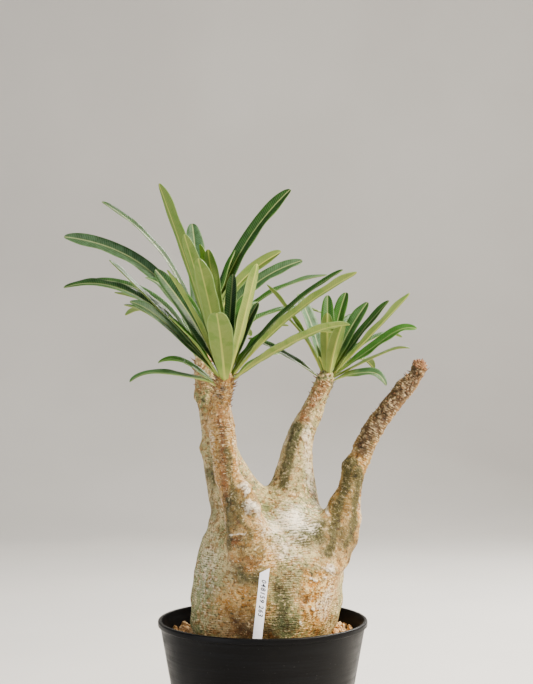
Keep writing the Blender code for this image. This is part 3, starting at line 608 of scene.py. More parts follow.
@dataclass(frozen=True)
class BarkFinish:
    """Silvery skin with golden and rusty stretches, olive algae, pale shoulders and fine wrinkles, with
    painted shade on shaded flanks and hollows and painted highlight on lit edges and raised relief.
    """

    silver: str = "cdbb86"
    sage: str = "7c8252"
    tan: str = "8c602a"
    gold: str = "b87a1c"
    rust: str = "7c4218"
    umber: str = "38240f"
    # Olive skin, also laid as painted shade.
    olive: str = "2a340f"
    # Pale skin, also laid as painted highlight.
    pale: str = "f8efda"
    # Cream ticks, also laid as painted highlight on the raised fine relief.
    cream_and_highlight: str = "f0d6a2"
    straw: str = "f6d48c"
    # Dark cracks and ticks, also laid as painted shade in the fine relief's hollows.
    crack_and_shade: str = "27180a"
    row_pitch: float = 1.6 * MM

    def material(self) -> bpy.types.Material:
        """Colours laid over each other by each point's stains, in fine wavering rows round the growth."""
        r = Recipe("silvery_bark")
        x, y, _ = r.vector("grain")
        ring = r.value("ring")
        crest_light_shade = r.value("crest_light_shade")
        wrap = r.joined(r.times(x, 0.45), r.times(y, 0.45), ring)
        broad = r.noise(26.0, 3.0)
        mottle = r.noise(260.0, 4.0, 0.62)
        streak = r.noise(420.0, 5.0, 0.68, wrap, 0.3)
        grit = r.noise(560.0, 3.0, 0.6)
        speck = r.noise(950.0, 4.0, 0.7)
        waver = r.times(r.noise(140.0, 2.0), 11.0)
        rows = r.calc("SINE", r.plus(r.times(ring, FULL_TURN / self.row_pitch), waver))
        rows = r.times(rows, r.step(r.noise(75.0, 2.0), 0.42, 0.62, 0.02, 0.08))
        dash = r.noise(620.0, 3.0, 0.6, wrap, 0.2)
        tick = r.minus(r.plus(r.plus(r.times(grit, 0.8), r.times(dash, 0.6)), rows), 0.2)
        peel = r.noise(310.0, 3.0, 0.62)
        golden = r.step(r.value(Stain.GOLD.value), 0.45, 1.0)
        lift = r.times(golden, r.step(peel, 0.46, 0.54))
        edge = r.calc("ABSOLUTE", r.minus(peel, 0.47))
        skin = r.mix(r.step(broad, 0.35, 0.62), self.silver, self.sage)
        skin = r.mix(r.step(mottle, 0.46, 0.6, 0.0, 0.75), skin, self.tan)
        broken = r.minus(r.plus(streak, r.times(tick, 1.3)), 1.15)
        flake = r.mix(r.times(lift, 0.85), self.gold, self.straw)
        # The olive stain carries painted shade in places, and the pale one painted highlight.
        for stain, shade, most in ((Stain.GOLD, flake, 0.9), (Stain.RUST, self.rust, 0.85),
                                   (Stain.UMBER, self.umber, 0.9), (Stain.OLIVE_AND_SHADE, self.olive, 0.85),
                                   (Stain.PALE_AND_HIGHLIGHT, self.pale, 0.9)):
            cover = r.plus(r.value(stain.value), broken)
            skin = r.mix(r.step(cover, 0.15, 0.95, 0.0, most), skin, shade)
        flaw = r.times(r.step(edge, 0.022, 0.004), r.step(r.noise(110.0, 2.0), 0.45, 0.6, 0.1, 1.0))
        skin = r.mix(r.times(golden, flaw), skin, self.crack_and_shade)
        calm = r.minus(1.0, r.times(r.value(Stain.PALE_AND_HIGHLIGHT.value), 0.5), True)
        skin = r.mix(r.times(calm, r.step(speck, 0.53, 0.67, 0.0, 0.6)), skin, self.olive)
        dull = r.plus(r.value(Stain.OLIVE_AND_SHADE.value), r.value(Stain.UMBER.value))
        bright = r.minus(1.0, r.times(dull, 0.5), True)
        skin = r.mix(r.times(bright, r.step(tick, 0.54, 0.68, 0.0, 0.7)), skin, self.cream_and_highlight)
        # Painted highlight on the raised fine relief, and painted shade in its hollows.
        skin = r.mix(r.times(bright, r.step(crest_light_shade, 0.62, 1.0, 0.0, 0.4)), skin, self.cream_and_highlight)
        skin = r.mix(r.step(crest_light_shade, 0.36, 0.0, 0.0, 0.6), skin, self.crack_and_shade)
        skin = r.mix(r.times(calm, r.step(tick, 0.46, 0.33, 0.0, 0.8)), skin, self.crack_and_shade)
        for height, rise in ((streak, 0.6), (tick, 1.3), (speck, 0.4), (lift, 0.5)):
            r.bump(height, rise * MM)
        return r.finish(skin, r.step(speck, 0.35, 0.65, 0.55, 0.8), 0.35)


@dataclass(frozen=True)
class LeafFinish:
    """Glossy dark green above with a pale rib and, on some leaves, a painted whitish sheen; pale olive below,
    lit through by the light behind.
    """

    deep: str = "0b3208"
    fresh: str = "3c7a18"
    under_dull: str = "4f6b2c"
    under_bright: str = "a2af5a"
    rib: str = "c6d28c"
    under_rib: str = "c6c862"
    margin: str = "a6c27c"
    # Whitish colour of the painted sheen.
    haze: str = "90ad9c"
    glow: str = "8fc22c"
    shade_glow: str = "2f5a18"
    root: str = "b4c65c"
    through: float = 0.24
    vein_pitch: float = 1.7 * MM

    def material(self) -> bpy.types.Material:
        """Rib, margin and slanting side veins drawn from each point's place on its blade."""
        r = Recipe("leaf_green")
        across, half, along = r.vector("blade")
        under, tone, haze = r.vector("leaf")
        side = r.calc("ABSOLUTE", across)
        off_rib = r.times(side, half)
        broad = r.plus(1.0, r.times(under, r.step(along, 80 * MM, 0.0, 0.1, 1.0)))
        rib = r.step(r.calc("DIVIDE", off_rib, broad), 0.6 * MM, 0.25 * MM)
        margin = r.step(side, 0.88, 1.0)
        slant = r.minus(along, r.times(off_rib, 0.55))
        wave = r.calc("SINE", r.times(slant, FULL_TURN / self.vein_pitch))
        vein = r.times(r.step(wave, 0.55, 1.0), r.step(side, 0.97, 0.8))
        mottle = r.noise(240.0, 3.0, 0.6)
        blotch = r.noise(105.0, 2.0)
        grain = r.noise(1500.0, 2.0)
        top = r.mix(r.plus(r.times(tone, 0.85), r.step(mottle, 0.3, 0.7, -0.12, 0.12)), self.deep, self.fresh)
        top = r.mix(r.times(vein, 0.16), top, self.margin)
        # Painted whitish sheen on the upper face, leaf by leaf.
        top = r.mix(r.times(haze, r.step(mottle, 0.3, 0.7, 0.15, 0.5)), top, self.haze)
        below = r.mix(tone, self.under_dull, self.under_bright)
        below = r.mix(r.step(mottle, 0.35, 0.65, 0.0, 0.16), below, self.fresh)
        below = r.mix(r.step(blotch, 0.5, 0.64, 0.0, 0.34), below, self.fresh)
        below = r.mix(r.times(vein, 0.2), below, self.deep)
        skin = r.mix(under, top, below)
        skin = r.mix(r.step(along, 26 * MM, 6 * MM, 0.0, 0.55), skin, self.root)
        skin = r.mix(r.times(margin, 0.4), skin, self.margin)
        rib_colour = r.mix(under, self.rib, self.under_rib)
        skin = r.mix(r.times(rib, r.step(under, 0.2, 0.8, 0.42, 0.75)), skin, rib_colour)
        r.bump(vein, -0.09 * MM)
        r.bump(grain, 0.04 * MM)
        r.finish(skin, r.plus(r.step(under, 0.2, 0.8, 0.4, 0.62), r.step(grain, 0.3, 0.7, 0.0, 0.08)), 0.3)
        lit = r.node("ShaderNodeBsdfTranslucent", {"Color": r.mix(tone, self.shade_glow, self.glow)})
        blend = r.node("ShaderNodeMixShader", {0: self.through, 1: r.shader.outputs[0], 2: lit.outputs[0]})
        r.plug(r.tree.nodes["Material Output"].inputs["Surface"], blend.outputs[0])
        return r.material


@dataclass(frozen=True)
class SpineFinish:
    """Dry thorns, grey at the root and red-brown at the point."""

    root: str = "785a32"
    point: str = "5e2a12"
    fleck: str = "b08c5c"

    def material(self) -> bpy.types.Material:
        """A fade from root to point with a fibrous grain."""
        r = Recipe("thorn_brown")
        fibre = r.noise(1400.0, 3.0)
        skin = r.mix(r.value("along"), self.root, self.point)
        skin = r.mix(r.step(fibre, 0.45, 0.6, 0.0, 0.5), skin, self.fleck)
        r.bump(fibre, 0.1 * MM)
        return r.finish(skin, 0.7)


@dataclass(frozen=True)
class PumiceFinish:
    """Golden-tan stones, each with its own shade, pitted and dusty, with painted shade in the pits."""

    dark: str = "8a5f33"
    light: str = "cfa266"
    dust: str = "dcc49a"
    # Painted shade in the pits.
    pit_shade: str = "6a4524"

    def material(self, name: str, by_stone: bool) -> bpy.types.Material:
        """Shades by stone where the piece carries them, or else by scattered cells.

        Args:
            name: The material's name.
            by_stone: Whether the piece carries a shade for each stone.

        Returns:
            The material.
        """
        r = Recipe(name)
        coarse = r.noise(210.0, 3.0)
        fine = r.noise(1300.0, 4.0, 0.65)
        shade = r.value("shade") if by_stone else r.cells(170.0)
        skin = r.mix(shade, self.dark, self.light)
        skin = r.mix(r.step(coarse, 0.4, 0.65, 0.0, 0.6), skin, self.dust)
        # Painted shade where the fine bump is low, in the pits.
        skin = r.mix(r.step(fine, 0.52, 0.36, 0.0, 0.5), skin, self.pit_shade)
        r.bump(fine, 0.5 * MM)
        r.bump(coarse, 0.8 * MM)
        return r.finish(skin, 0.93, 0.2)


@dataclass(frozen=True)
class PotFinish:
    """Satin black plastic with faint rings round it, dust and a few scuffs."""

    black: str = "040405"
    worn: str = "090a0c"
    dust: str = "4a4a48"

    def material(self) -> bpy.types.Material:
        """Long thin streaks round the wall, and specks of dust."""
        r = Recipe("black_plastic")
        streak = r.noise(620.0, 3.0, 0.6, r.scaled(r.place, (0.03, 0.03, 1.0)))
        cloud = r.noise(34.0, 4.0, 0.6)
        speck = r.noise(900.0, 1.0)
        skin = r.mix(r.step(streak, 0.42, 0.68), self.black, self.worn)
        skin = r.mix(r.step(speck, 0.72, 0.8, 0.0, 0.35), skin, self.dust)
        r.bump(streak, 0.16 * MM)
        r.bump(r.noise(2200.0, 2.0), 0.03 * MM)
        rough = r.plus(r.step(cloud, 0.35, 0.65, 0.3, 0.42), r.step(streak, 0.4, 0.7, 0.0, 0.1))
        return r.finish(skin, rough, 0.1)


@dataclass(frozen=True)
class TagFinish:
    """White label plastic, faintly blue, with a trace of handling."""

    white: str = "f7f8ff"
    dull: str = "e6e7f0"
    blue: str = "0a0c20"
    faded: str = "34385a"

    def material(self) -> bpy.types.Material:
        """A clean sheet with soft smudges and a fine tooth for ink."""
        r = Recipe("white_plastic")
        smudge = r.noise(90.0, 4.0, 0.6)
        tooth = r.noise(2600.0, 2.0)
        skin = r.mix(r.step(smudge, 0.48, 0.7, 0.0, 0.7), self.white, self.dull)
        r.bump(tooth, 0.03 * MM)
        return r.finish(skin, r.step(smudge, 0.3, 0.7, 0.38, 0.52))

    def ink(self) -> bpy.types.Material:
        """Dark blue-grey ink that has worn a little."""
        r = Recipe("ink")
        wear = r.noise(1900.0, 3.0)
        return r.finish(r.mix(r.step(wear, 0.55, 0.75, 0.0, 0.4), self.blue, self.faded), 0.55)


@dataclass(frozen=True)
class Limb:
    """An arm, or the root: knots of (right, away, up, radius) in millimetres."""

    knots: tuple[Knot, ...]
    spines: tuple[int, float, float, int] | None = None
    spine_length: float = 4.3 * MM
    step: float = 3.0 * MM

    def path(self) -> Array:
        """The arm's smooth middle line, with its radius, in metres."""
        return smooth_path(np.array(self.knots) * MM, self.step)


LIMBS: dict[str, Limb] = {
    "front": Limb((
        (-4, -29, 154, 10), (-6, -33, 172, 13), (-10, -36, 192, 14.2), (-15, -37, 207, 13),
        (-21, -38, 222, 10.6), (-24.2, -38, 232, 9), (-26, -38, 246, 8.8), (-28.4, -38, 265, 8.9),
        (-29.8, -38, 277, 7.8), (-27.8, -38, 287, 6.5), (-26.2, -38, 296, 6.2), (-25.8, -38, 301, 4.4),
    ), (46, 0.5, 24, 1), 6.4 * MM),
    "back": Limb((
        (-9, 6, 178, 27), (-15.5, 8, 202, 21.6), (-22.4, 10, 218, 17.8), (-28.4, 11, 234, 14.4),
        (-32, 12, 247, 12), (-35, 12, 258, 9.7), (-38.4, 12, 275, 8.2), (-41.4, 12, 291, 7.5),
        (-43.4, 12, 307, 6.6), (-43.6, 12, 314, 4.6),
    ), (36, 1, 30, 2)),
    "middle": Limb((
        (14, 6, 180, 27), (19.5, 12, 202, 20), (22, 16, 217, 16.5), (23, 18, 228, 14),
        (25, 19, 243, 11.2), (28.4, 20, 257, 9.3), (34.4, 20, 269, 8.4), (41.2, 20, 285, 6.6),
        (45.6, 20, 296, 6.2), (47, 20, 301, 4.4),
    ), (34, 1, 30, 3)),
    "bare": Limb((
        (24, -19, 150, 18), (39.5, -17, 168, 19.3), (51.5, -12, 185, 16.2), (58, -8, 201, 11.8),
        (61.2, -7, 215, 8.9), (65, -6, 230.5, 8), (69.6, -6, 240.5, 7.2), (73.2, -6, 250, 7.2),
        (78, -6, 259.5, 7), (85.2, -6, 270.5, 6.7), (94.6, -6, 282.5, 6.3), (104.2, -6, 293.4, 5.9),
        (109, -6, 299.8, 5.4), (111.5, -6, 304.6, 5.4),
    ), (70, 2, 74, 4)),
    "root": Limb(((3, 2, 112, 30), (3, 2, 98, 27), (2, 1, 84, 17), (1, 0, 72, 9))),
}


def limb_paths() -> dict[str, Array]:
    """Each limb's path, by the limb's name."""
    return {name: limb.path() for name, limb in LIMBS.items()}


@dataclass(frozen=True)
class Fold:
    """A ridge or, below 0, a groove drawn on the front: places, rise and width in millimetres."""

    places: tuple[Place, ...]
    rise: float
    width: float

    def height(self, points: Array) -> Array:
        """A bell of the distance from the fold's line."""
        return self.rise * MM * bell(drawn_distance(points, self.places) / (self.width * MM))


@dataclass
class Trunk:
    """The swollen body and its arms, as one skin over a formula.

    The body is a leaning superellipsoid, and each arm a chain of balls along its path. The skin
    lies where -blend log(sum(exp(-distance / blend))) is 0, which fills the hollows between them.

    scarred gives, for each arm, how far down its old leaf scars reach and how high they stand, and
    drift is how far the stains wander, in millimetres. knobs are (right, away, up, rise). Each tint
    lays one stain evenly over an arm.
    """

    centre: Place = (3.4, 2, 149)
    reach: Place = (54, 48, 60)
    power: float = 2.5
    taper: float = 0.015
    lean: float = 0.1
    blend: float = 3.6 * MM
    voxel: float = 1.02 * MM
    thin_above: float = 225 * MM
    wrinkle_pitch: float = 2.6 * MM
    drift: float = 2.4
    swellings: tuple[tuple[float, float, int], ...] = ((1.2 * MM, 42 * MM, 3), (0.5 * MM, 13 * MM, 4))
    scarred: tuple[tuple[str, float, float], ...] = (
        ("front", 52, 0.5), ("back", 46, 0.5), ("middle", 44, 0.4), ("bare", 92, 1.1),
    )
    knobs: tuple[Knot, ...] = (
        (49, -10, 211, 3.0), (57, -8, 238, 2.8), (-44, 10, 246, 2.4), (-46, 12, 284, 2.2),
        (87, -12, 277, 2.0), (76, -13, 262, 2.2), (98, -7, 293, 1.8), (-20, -46, 262, 1.6),
        (-35, -44, 270, 1.6), (67, -13, 232, 2.0), (-35, 21, 240, 2.6), (30, 28, 250, 2.4),
        (-12.5, -44, 222, 2.4), (-6, -43, 209, 2.6), (24, -44, 190, 3), (-22, 44, 176, 5), (34, 40, 182, 6),
    )
    folds: tuple[Fold, ...] = (
        Fold(((-12.8, -45, 222), (-3.4, -43, 206.7), (5.8, -43, 192), (15, -45, 177.5)), 0.9, 5.0),
        Fold(((-14.2, -45, 223.5), (-12.4, -45, 220)), 2.5, 3.0),
        Fold(((-8.6, -44, 210.5), (-6.2, -44, 206.5)), 3.0, 3.6),
        Fold(((103.5, -6, 302.4), (113.5, -6, 296.8)), -1.3, 2.2),
        Fold(((-11.5, -45, 215.5), (-9.5, -45, 214)), -1.0, 2.2),
        Fold(((1.7, -36, 205), (12.7, -36, 195.4), (23, -40, 183)), -1.6, 5.0),
        Fold(((-31.7, -34, 222), (-28, -35, 205), (-26, -38, 191)), -1.6, 3.6),
        Fold(((29, -30, 199), (35, -34, 190), (40, -38, 182)), -2.2, 7.0),
    )
    creases: tuple[Fold, ...] = (
        Fold(((38, -40, 168), (43, -38, 165.5), (49, -34, 166)), 1.3, 1.8),
        Fold(((40.6, -40, 163), (43.4, -38, 160.4)), 1.3, 1.6),
        Fold(((33.4, -41, 160.2), (37, -40, 158.6)), 1.2, 1.7),
        Fold(((33, -42, 142.6), (34.4, -41, 139.6), (35.6, -41, 137)), 1.4, 1.3),
        Fold(((25.4, -44, 130.4), (27.6, -43, 127.6)), 1.2, 1.4),
        Fold(((31.4, -42, 144.6), (31.6, -42, 141), (33, -41, 137.4), (35, -41, 135.4)), -0.42, 0.9),
        Fold(((42.3, -39, 157.6), (38, -40, 153.6), (33, -41, 149), (29, -43, 143.7)), -0.3, 1.2),
        Fold(((26, -43, 152), (28, -43, 150.5), (29.5, -43, 147.8)), -0.3, 0.9),
        Fold(((26, -43, 128.5), (34, -42, 127.6), (42, -38, 128.4)), 0.5, 1.3),
        Fold(((28, -43, 124.6), (36, -41, 124), (45, -36, 125)), 0.5, 1.3),
        Fold(((30, -42, 132), (37, -41, 131), (44, -37, 132.4)), -0.25, 1.0),
        Fold(((-22, -46, 190.4), (-18, -47, 191.4), (-13.6, -47, 190.8)), 0.5, 1.0),
        Fold(((-21, -46, 188), (-17, -47, 188.6), (-13, -47, 188)), -0.3, 0.9),
        Fold(((-21, -47, 183.6), (-17, -47, 184.4), (-12, -47, 183.4)), -0.25, 0.9),
        Fold(((-22, -46, 171), (-12, -48, 168), (-2, -48, 168.6)), -0.2, 1.4),
        Fold(((-2.5, -38, 217), (0.5, -37, 215), (2.5, -36, 213)), -0.3, 0.9),
        Fold(((4.4, -37, 213.5), (9.5, -37, 209.4), (14, -38, 204.6)), -0.32, 0.9),
        Fold(((2, -38, 210.5), (6, -38, 207.5), (9.5, -39, 204)), -0.25, 0.8),
        Fold(((10, -48, 136), (16, -47, 135.2), (21, -47, 135.6)), -0.25, 0.9),
        Fold(((9, -48, 131.6), (14, -48, 131), (19, -47, 131.6)), -0.25, 0.9),
        Fold(((11, -48, 127.4), (17, -47, 126.6), (22, -47, 127)), -0.25, 0.9),
        Fold(((69.6, -13, 254), (68.5, -13, 248), (66, -14, 242)), -0.5, 1.3),
    )
    tints: tuple[tuple[str, Stain, float], ...] = (
        ("front", Stain.GOLD, 0.75), ("front", Stain.UMBER, 0.4), ("back", Stain.RUST, 0.25),
        ("back", Stain.GOLD, 0.3), ("middle", Stain.GOLD, 0.2),
        ("back", Stain.UMBER, 0.2), ("middle", Stain.PALE_AND_HIGHLIGHT, 0.08), ("middle", Stain.RUST, 0.2),
        ("bare", Stain.GOLD, 0.65), ("bare", Stain.UMBER, 0.35),
    )

    def body_distance(self, points: Array) -> Array:
        """Roughly how far points lie outside the swollen body.

        Each offset from the centre is divided by the reach, and the sizes are summed as powers.

        Args:
            points: Places, one a row.

        Returns:
            The distance of each, below 0 inside.
        """
        reach = np.array(self.reach) * MM
        offset = points - np.array(self.centre) * MM
        aside = offset[:, 0] - self.lean * offset[:, 2]
        up = np.abs(offset[:, 2]) / reach[2]
        taper = 1 + self.taper * np.clip(offset[:, 2] / reach[2], -1, 1)
        flat = np.hypot(aside / reach[0], offset[:, 1] / reach[1]) * taper
        return ((flat ** self.power + up ** self.power) ** (1 / self.power) - 1) * reach.min()

    def body_field(self, points: Array) -> tuple[Array, Array]:
        """The body's distance and its slope, by small steps along each axis.

        Args:
            points: Places, one a row.

        Returns:
            The distance and its slope at each place.
        """
        tiny = 0.1 * MM
        here = self.body_distance(points)
        ahead = [self.body_distance(points + tiny * axis) for axis in np.eye(3)]
        return here, (np.stack(ahead, 1) - here[:, None]) / tiny

    def field(self, points: Array, paths: dict[str, Array]) -> tuple[Array, Array, Array]:
        """The joined distance of the body and the limbs.

        Args:
            points: Places, one a row.
            paths: The limbs' paths.

        Returns:
            The distance, its slope, and each part's share of it, the body's first.
        """
        parts = [self.body_field(points)]
        parts += [chain_distance(points, path)[:2] for path in paths.values()]
        near = np.stack([part[0] for part in parts])
        lowest = near.min(0)
        share = np.exp(-(near - lowest) / self.blend)
        total = share.sum(0)
        share /= total
        slope = sum(weight[:, None] * part[1] for weight, part in zip(share, parts))
        return lowest - self.blend * np.log(total), slope, share

    def settle(self, points: Array, edges: Array, paths: dict[str, Array]) -> tuple[Array, Array, Array]:
        """Relaxes points along the skin and moves them onto it by Newton steps.

        Args:
            points: Places near the skin.
            edges: Pairs of neighbours.
            paths: The limbs' paths.

        Returns:
            The places on the skin, the outward directions and the parts' shares there.
        """
        degree = np.bincount(edges.ravel(), minlength=len(points))[:, None]
        for _ in range(3):
            total = np.zeros_like(points)
            for column in range(3):
                total[:, column] = np.bincount(edges[:, 0], points[edges[:, 1], column], len(points))
                total[:, column] += np.bincount(edges[:, 1], points[edges[:, 0], column], len(points))
            points = 0.5 * points + 0.5 * total / degree
            for _ in range(2):
                here, slope, share = self.field(points, paths)
                points = points - (here / np.maximum((slope ** 2).sum(1), 0.2))[:, None] * slope
        return points, unit(slope), share

    def rough(self, paths: dict[str, Array]) -> bpy.types.Object:
        """A ball and plain tubes in one mesh, fused by a voxel remesh.

        Args:
            paths: The limbs' paths.

        Returns:
            The object, with the remesh still to be applied.
        """
        shape = bmesh.new()
        bmesh.ops.create_uvsphere(shape, u_segments=48, v_segments=30, radius=1)
        bmesh.ops.scale(shape, vec=Vector(self.reach) * MM, verts=shape.verts)
        bmesh.ops.translate(shape, vec=Vector(self.centre) * MM, verts=shape.verts)
        for path in paths.values():
            limb = tube_piece("limb", path, 20)
            shape.from_mesh(limb.data)
            bpy.data.objects.remove(limb)
        mesh = bpy.data.meshes.new("rough_trunk")
        shape.to_mesh(mesh)
        shape.free()
        piece = placed("rough_trunk", mesh)
        remesh = piece.modifiers.new("remesh", "REMESH")
        remesh.mode = "VOXEL"
        remesh.voxel_size = self.voxel
        return piece

    def broad_relief(self, points: Array) -> Array:
        """Broad swellings, which fade on the arms, with old leaf knobs and folds.

        Args:
            points: Places on the skin.

        Returns:
            The height at each point.
        """
        fat = np.clip((self.thin_above - points[:, 2]) / (40 * MM), 0.25, 1)
        height = fat * sum(rise * ripple(points, length, seed) for rise, length, seed in self.swellings)
        for x, y, z, rise in self.knobs:
            away = np.linalg.norm(points - np.array((x, y, z)) * MM, axis=1)
            height += rise * MM * bell(away / (2.2 * rise * MM))
        return height + sum(fold.height(points) for fold in self.folds)

    def wrinkles(self, points: Array, ring: Array, arm: Array) -> Array:
        """Wrinkles square to the growth: a sine of the ring distance, with a wandering height.

        Args:
            points: Places on the skin.
            ring: The distance along the growth there.
            arm: From 0 on the body to 1 on a thin arm.

        Returns:
            The height at each point.
        """
        phase = FULL_TURN * ring / self.wrinkle_pitch + 2.0 * ripple(points, 14 * MM, 11)
        wander = np.clip(0.5 + 0.7 * ripple(points, 7 * MM, 12), 0, 1.3)
        height = (0.05 + 0.1 * arm) * MM * wander * np.sin(phase)
        return height + (0.07 + 0.07 * arm) * MM * ripple(points, 3.2 * MM, 13, 24)

    def scars(self, points: Array, path: Array, last: float, rise: float, seed: int) -> Array:
        """Old leaf scars: low round bumps in a golden-angle spiral, from an arm's end downward.

        Args:
            points: Places on the skin.
            path: The arm's path.
            last: How far down the scars go.
            rise: How high they stand.
            seed: Seed of their small shifts and sizes.

        Returns:
            The height at each point.
        """
        down = np.arange(2 * MM, last, 0.5 * MM)
        middle = below_end(path, down)
        draw = np.random.default_rng(seed)
        angle = np.arange(len(down)) * GOLDEN_ANGLE + draw.uniform(-0.35, 0.35, len(down))
        size = draw.uniform(0.9, 1.5, len(down)) * MM
        near = np.flatnonzero(points[:, 2] > middle[:, 2].min() - 8 * MM)
        height = np.zeros(len(points))
        fade = np.clip((last - down) / (14 * MM), 0, 1)
        for spot, radius, strength in zip(middle[:, :3] + level(angle) * middle[:, 3:], size, fade):
            away = np.linalg.norm(points[near] - spot, axis=1) / radius
            height[near] = np.maximum(height[near], strength * rise * bell(away))
        return height

    def stains(self, points: Array, share: Array, flakes: Array) -> dict[str, Array]:
        """The most that any patch, stroke or arm's tint gives at each point. Raised flakes are pale.

        Args:
            points: Places on the skin.
            share: The parts' shares there, the body's first.
            flakes: How far flakes of bark stand out there.

        Returns:
            How much of each stain lies at each point, by the stain's name.
        """
        drift = np.stack([ripple(points, 12 * MM, seed) for seed in (21, 22, 23)], 1) * self.drift * MM
        covers = {stain.value: np.max([mark.cover(points, drift) for mark in marks], axis=0)
                  for stain, marks in STAINS.items()}
        for limb, stain, strength in self.tints:
            tint = strength * share[1 + list(LIMBS).index(limb)]
            covers[stain.value] = np.maximum(covers[stain.value], tint)
        pale = Stain.PALE_AND_HIGHLIGHT.value
        covers[pale] = np.maximum(covers[pale], 0.85 * smooth(flakes, 0.5 * MM, 1.1 * MM))
        return covers

    def build(self) -> bpy.types.Object:
        """The finished skin with its relief, carrying what the bark's material reads."""
        paths = limb_paths()
        mesh = applied(self.rough(paths))
        points = np.empty(len(mesh.vertices) * 3)
        mesh.vertices.foreach_get("co", points)
        edges = np.empty(len(mesh.edges) * 2, dtype=np.int64)
        mesh.edges.foreach_get("vertices", edges)
        points, outward, share = self.settle(points.reshape(-1, 3), edges.reshape(-1, 2), paths)
        runs = [chain_distance(points, path)[2] + path[0, 2] for path in paths.values()]
        ring = share[0] * points[:, 2] + sum(part * run for part, run in zip(share[1:], runs))
        radius = share[0] * 50 * MM
        for weight, path, run in zip(share[1:], paths.values(), runs):
            radius += weight * np.interp(run - path[0, 2], run_length(path), path[:, 3])
        arm = smooth(-radius, -17 * MM, -8.5 * MM)
        fine = self.wrinkles(points, ring, arm)
        for name, last, rise in self.scarred:
            fine += self.scars(points, paths[name], last * MM, rise * MM, len(name))
        worn = np.clip(0.7 + 0.6 * ripple(points, 5 * MM, 14), 0.1, 1.2)
        flakes = worn * sum(crease.height(points) for crease in self.creases if crease.rise > 0)
        fine += worn * sum(crease.height(points) for crease in self.creases if crease.rise < 0)
        height = self.broad_relief(points) + fine + flakes
        # How high the fine relief stands, which the bark paints as highlight on top and as shade in the
        # hollows.
        crest_light_shade = 0.5 + (fine - 0.1 * MM * arm) / ((0.6 + 0.5 * arm) * MM)
        values = {"ring": ring, "grain": points, "crest_light_shade": np.clip(crest_light_shade, 0, 1)}
        values |= self.stains(points, share, flakes)
        points = points + height[:, None] * outward
        mesh.vertices.foreach_set("co", points.astype(np.float32).ravel())
        carry(mesh, values)
        mesh.materials.append(BarkFinish().material())
        skin = linked("bark", mesh, 180)
        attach(skin, "root")
        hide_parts("trunk")
        return skin


@dataclass
class Spines:
    """Paired thorns round the upper arms, and the broken end of the bare one."""

    radius: float = 0.58 * MM
    sink: float = 0.9 * MM
    upturn: float = 0.22
    rows: int = 6
    sides: int = 6

    def thorns(self, bases: Array, outward: Array, sizes: Array, radii: Array) -> Array:
        """Curved cones: the middle line runs outward and bends up with the square of the way along.

        Args:
            bases: Where each thorn leaves the bark.
            outward: Its direction there.
            sizes: Its length.
            radii: Its radius at the root.

        Returns:
            Points by thorn, ring and side.
        """
        outward = unit(outward)
        first = unit(np.cross(outward, (0.3, 0.2, 0.9)))
        s = np.linspace(0, 1, self.rows)[None, :, None]
        line = bases[:, None] + outward[:, None] * (s * (sizes[:, None, None] + self.sink) - self.sink)
        line = line + UP * self.upturn * sizes[:, None, None] * s ** 2
        thick = radii[:, None, None] * (1 - 0.94 * s ** 1.8)
        ring = circles(first, np.cross(outward, first), self.sides)
        return line[:, :, None] + thick[..., None] * ring[:, None]

    def along_arm(self, limb: Limb) -> Array:
        """Pairs of thorns in a golden-angle spiral below an arm's end.

        Args:
            limb: The arm. Its spines are the number of pairs, the first and last way down in
                millimetres, and a seed.

        Returns:
            Points by thorn, ring and side.
        """
        count, first, last, seed = limb.spines
        draw = np.random.default_rng(seed)
        down = np.repeat(np.linspace(first, last, count), 2) * MM + draw.uniform(-0.4, 0.4, 2 * count) * MM
        middle = below_end(limb.path(), down)
        pair = np.tile((-0.24, 0.24), count)
        angle = np.repeat(np.arange(count) * GOLDEN_ANGLE, 2) + pair + draw.uniform(-0.15, 0.15, 2 * count)
        flat = level(angle)
        outward = flat + draw.uniform(0.05, 0.7, 2 * count)[:, None] * UP
        worn = np.interp(down, (first * MM, last * MM), (1.0, 0.25))
        sizes = limb.spine_length * worn * draw.uniform(0.5, 1.05, 2 * count)
        radii = self.radius * draw.uniform(0.8, 1.25, 2 * count)
        return self.thorns(middle[:, :3] + flat * middle[:, 3:], outward, sizes, radii)

    def broken_end(self, limb: Limb) -> Array:
        """Stubby scales crowded into a dry knuckle on an arm's end.

        Args:
            limb: The bare arm.

        Returns:
            Points by scale, ring and side.
        """
        end = limb.path()[-1]
        draw = np.random.default_rng(9)
        count = 72
        angle = np.arange(count) * GOLDEN_ANGLE
        up = np.linspace(0.98, -0.6, count)
        flat = np.sqrt(1 - up ** 2)
        outward = level(angle) * flat[:, None] + up[:, None] * UP
        bases = end[:3] + outward * np.array((0.8, 0.8, 1.05)) * (end[3] - 0.8 * MM)
        bases = bases + np.array((0.2, 0, 0.6)) * MM
        outward = outward + draw.normal(0, 0.35, (count, 3))
        sizes = draw.uniform(1.0, 2.6, count) * MM
        return self.thorns(bases, outward, sizes, draw.uniform(1.1, 2.0, count) * MM)

    def build(self) -> bpy.types.Object:
        """All thorns and shards as one piece of loose closed cones."""
        blocks = [self.along_arm(limb) for limb in LIMBS.values() if limb.spines]
        blocks.append(self.broken_end(LIMBS["bare"]))
        points = np.concatenate(blocks)
        count = len(points)
        along = np.broadcast_to(np.linspace(0, 1, self.rows)[None, :, None], points.shape[:3])
        piece = piece_from("spines", points.reshape(-1, 3), tube_faces(count, self.rows, self.sides),
                           {"along": along.reshape(-1)}, 60)
        piece.data.materials.append(SpineFinish().material())
        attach(piece, "root")
        return piece


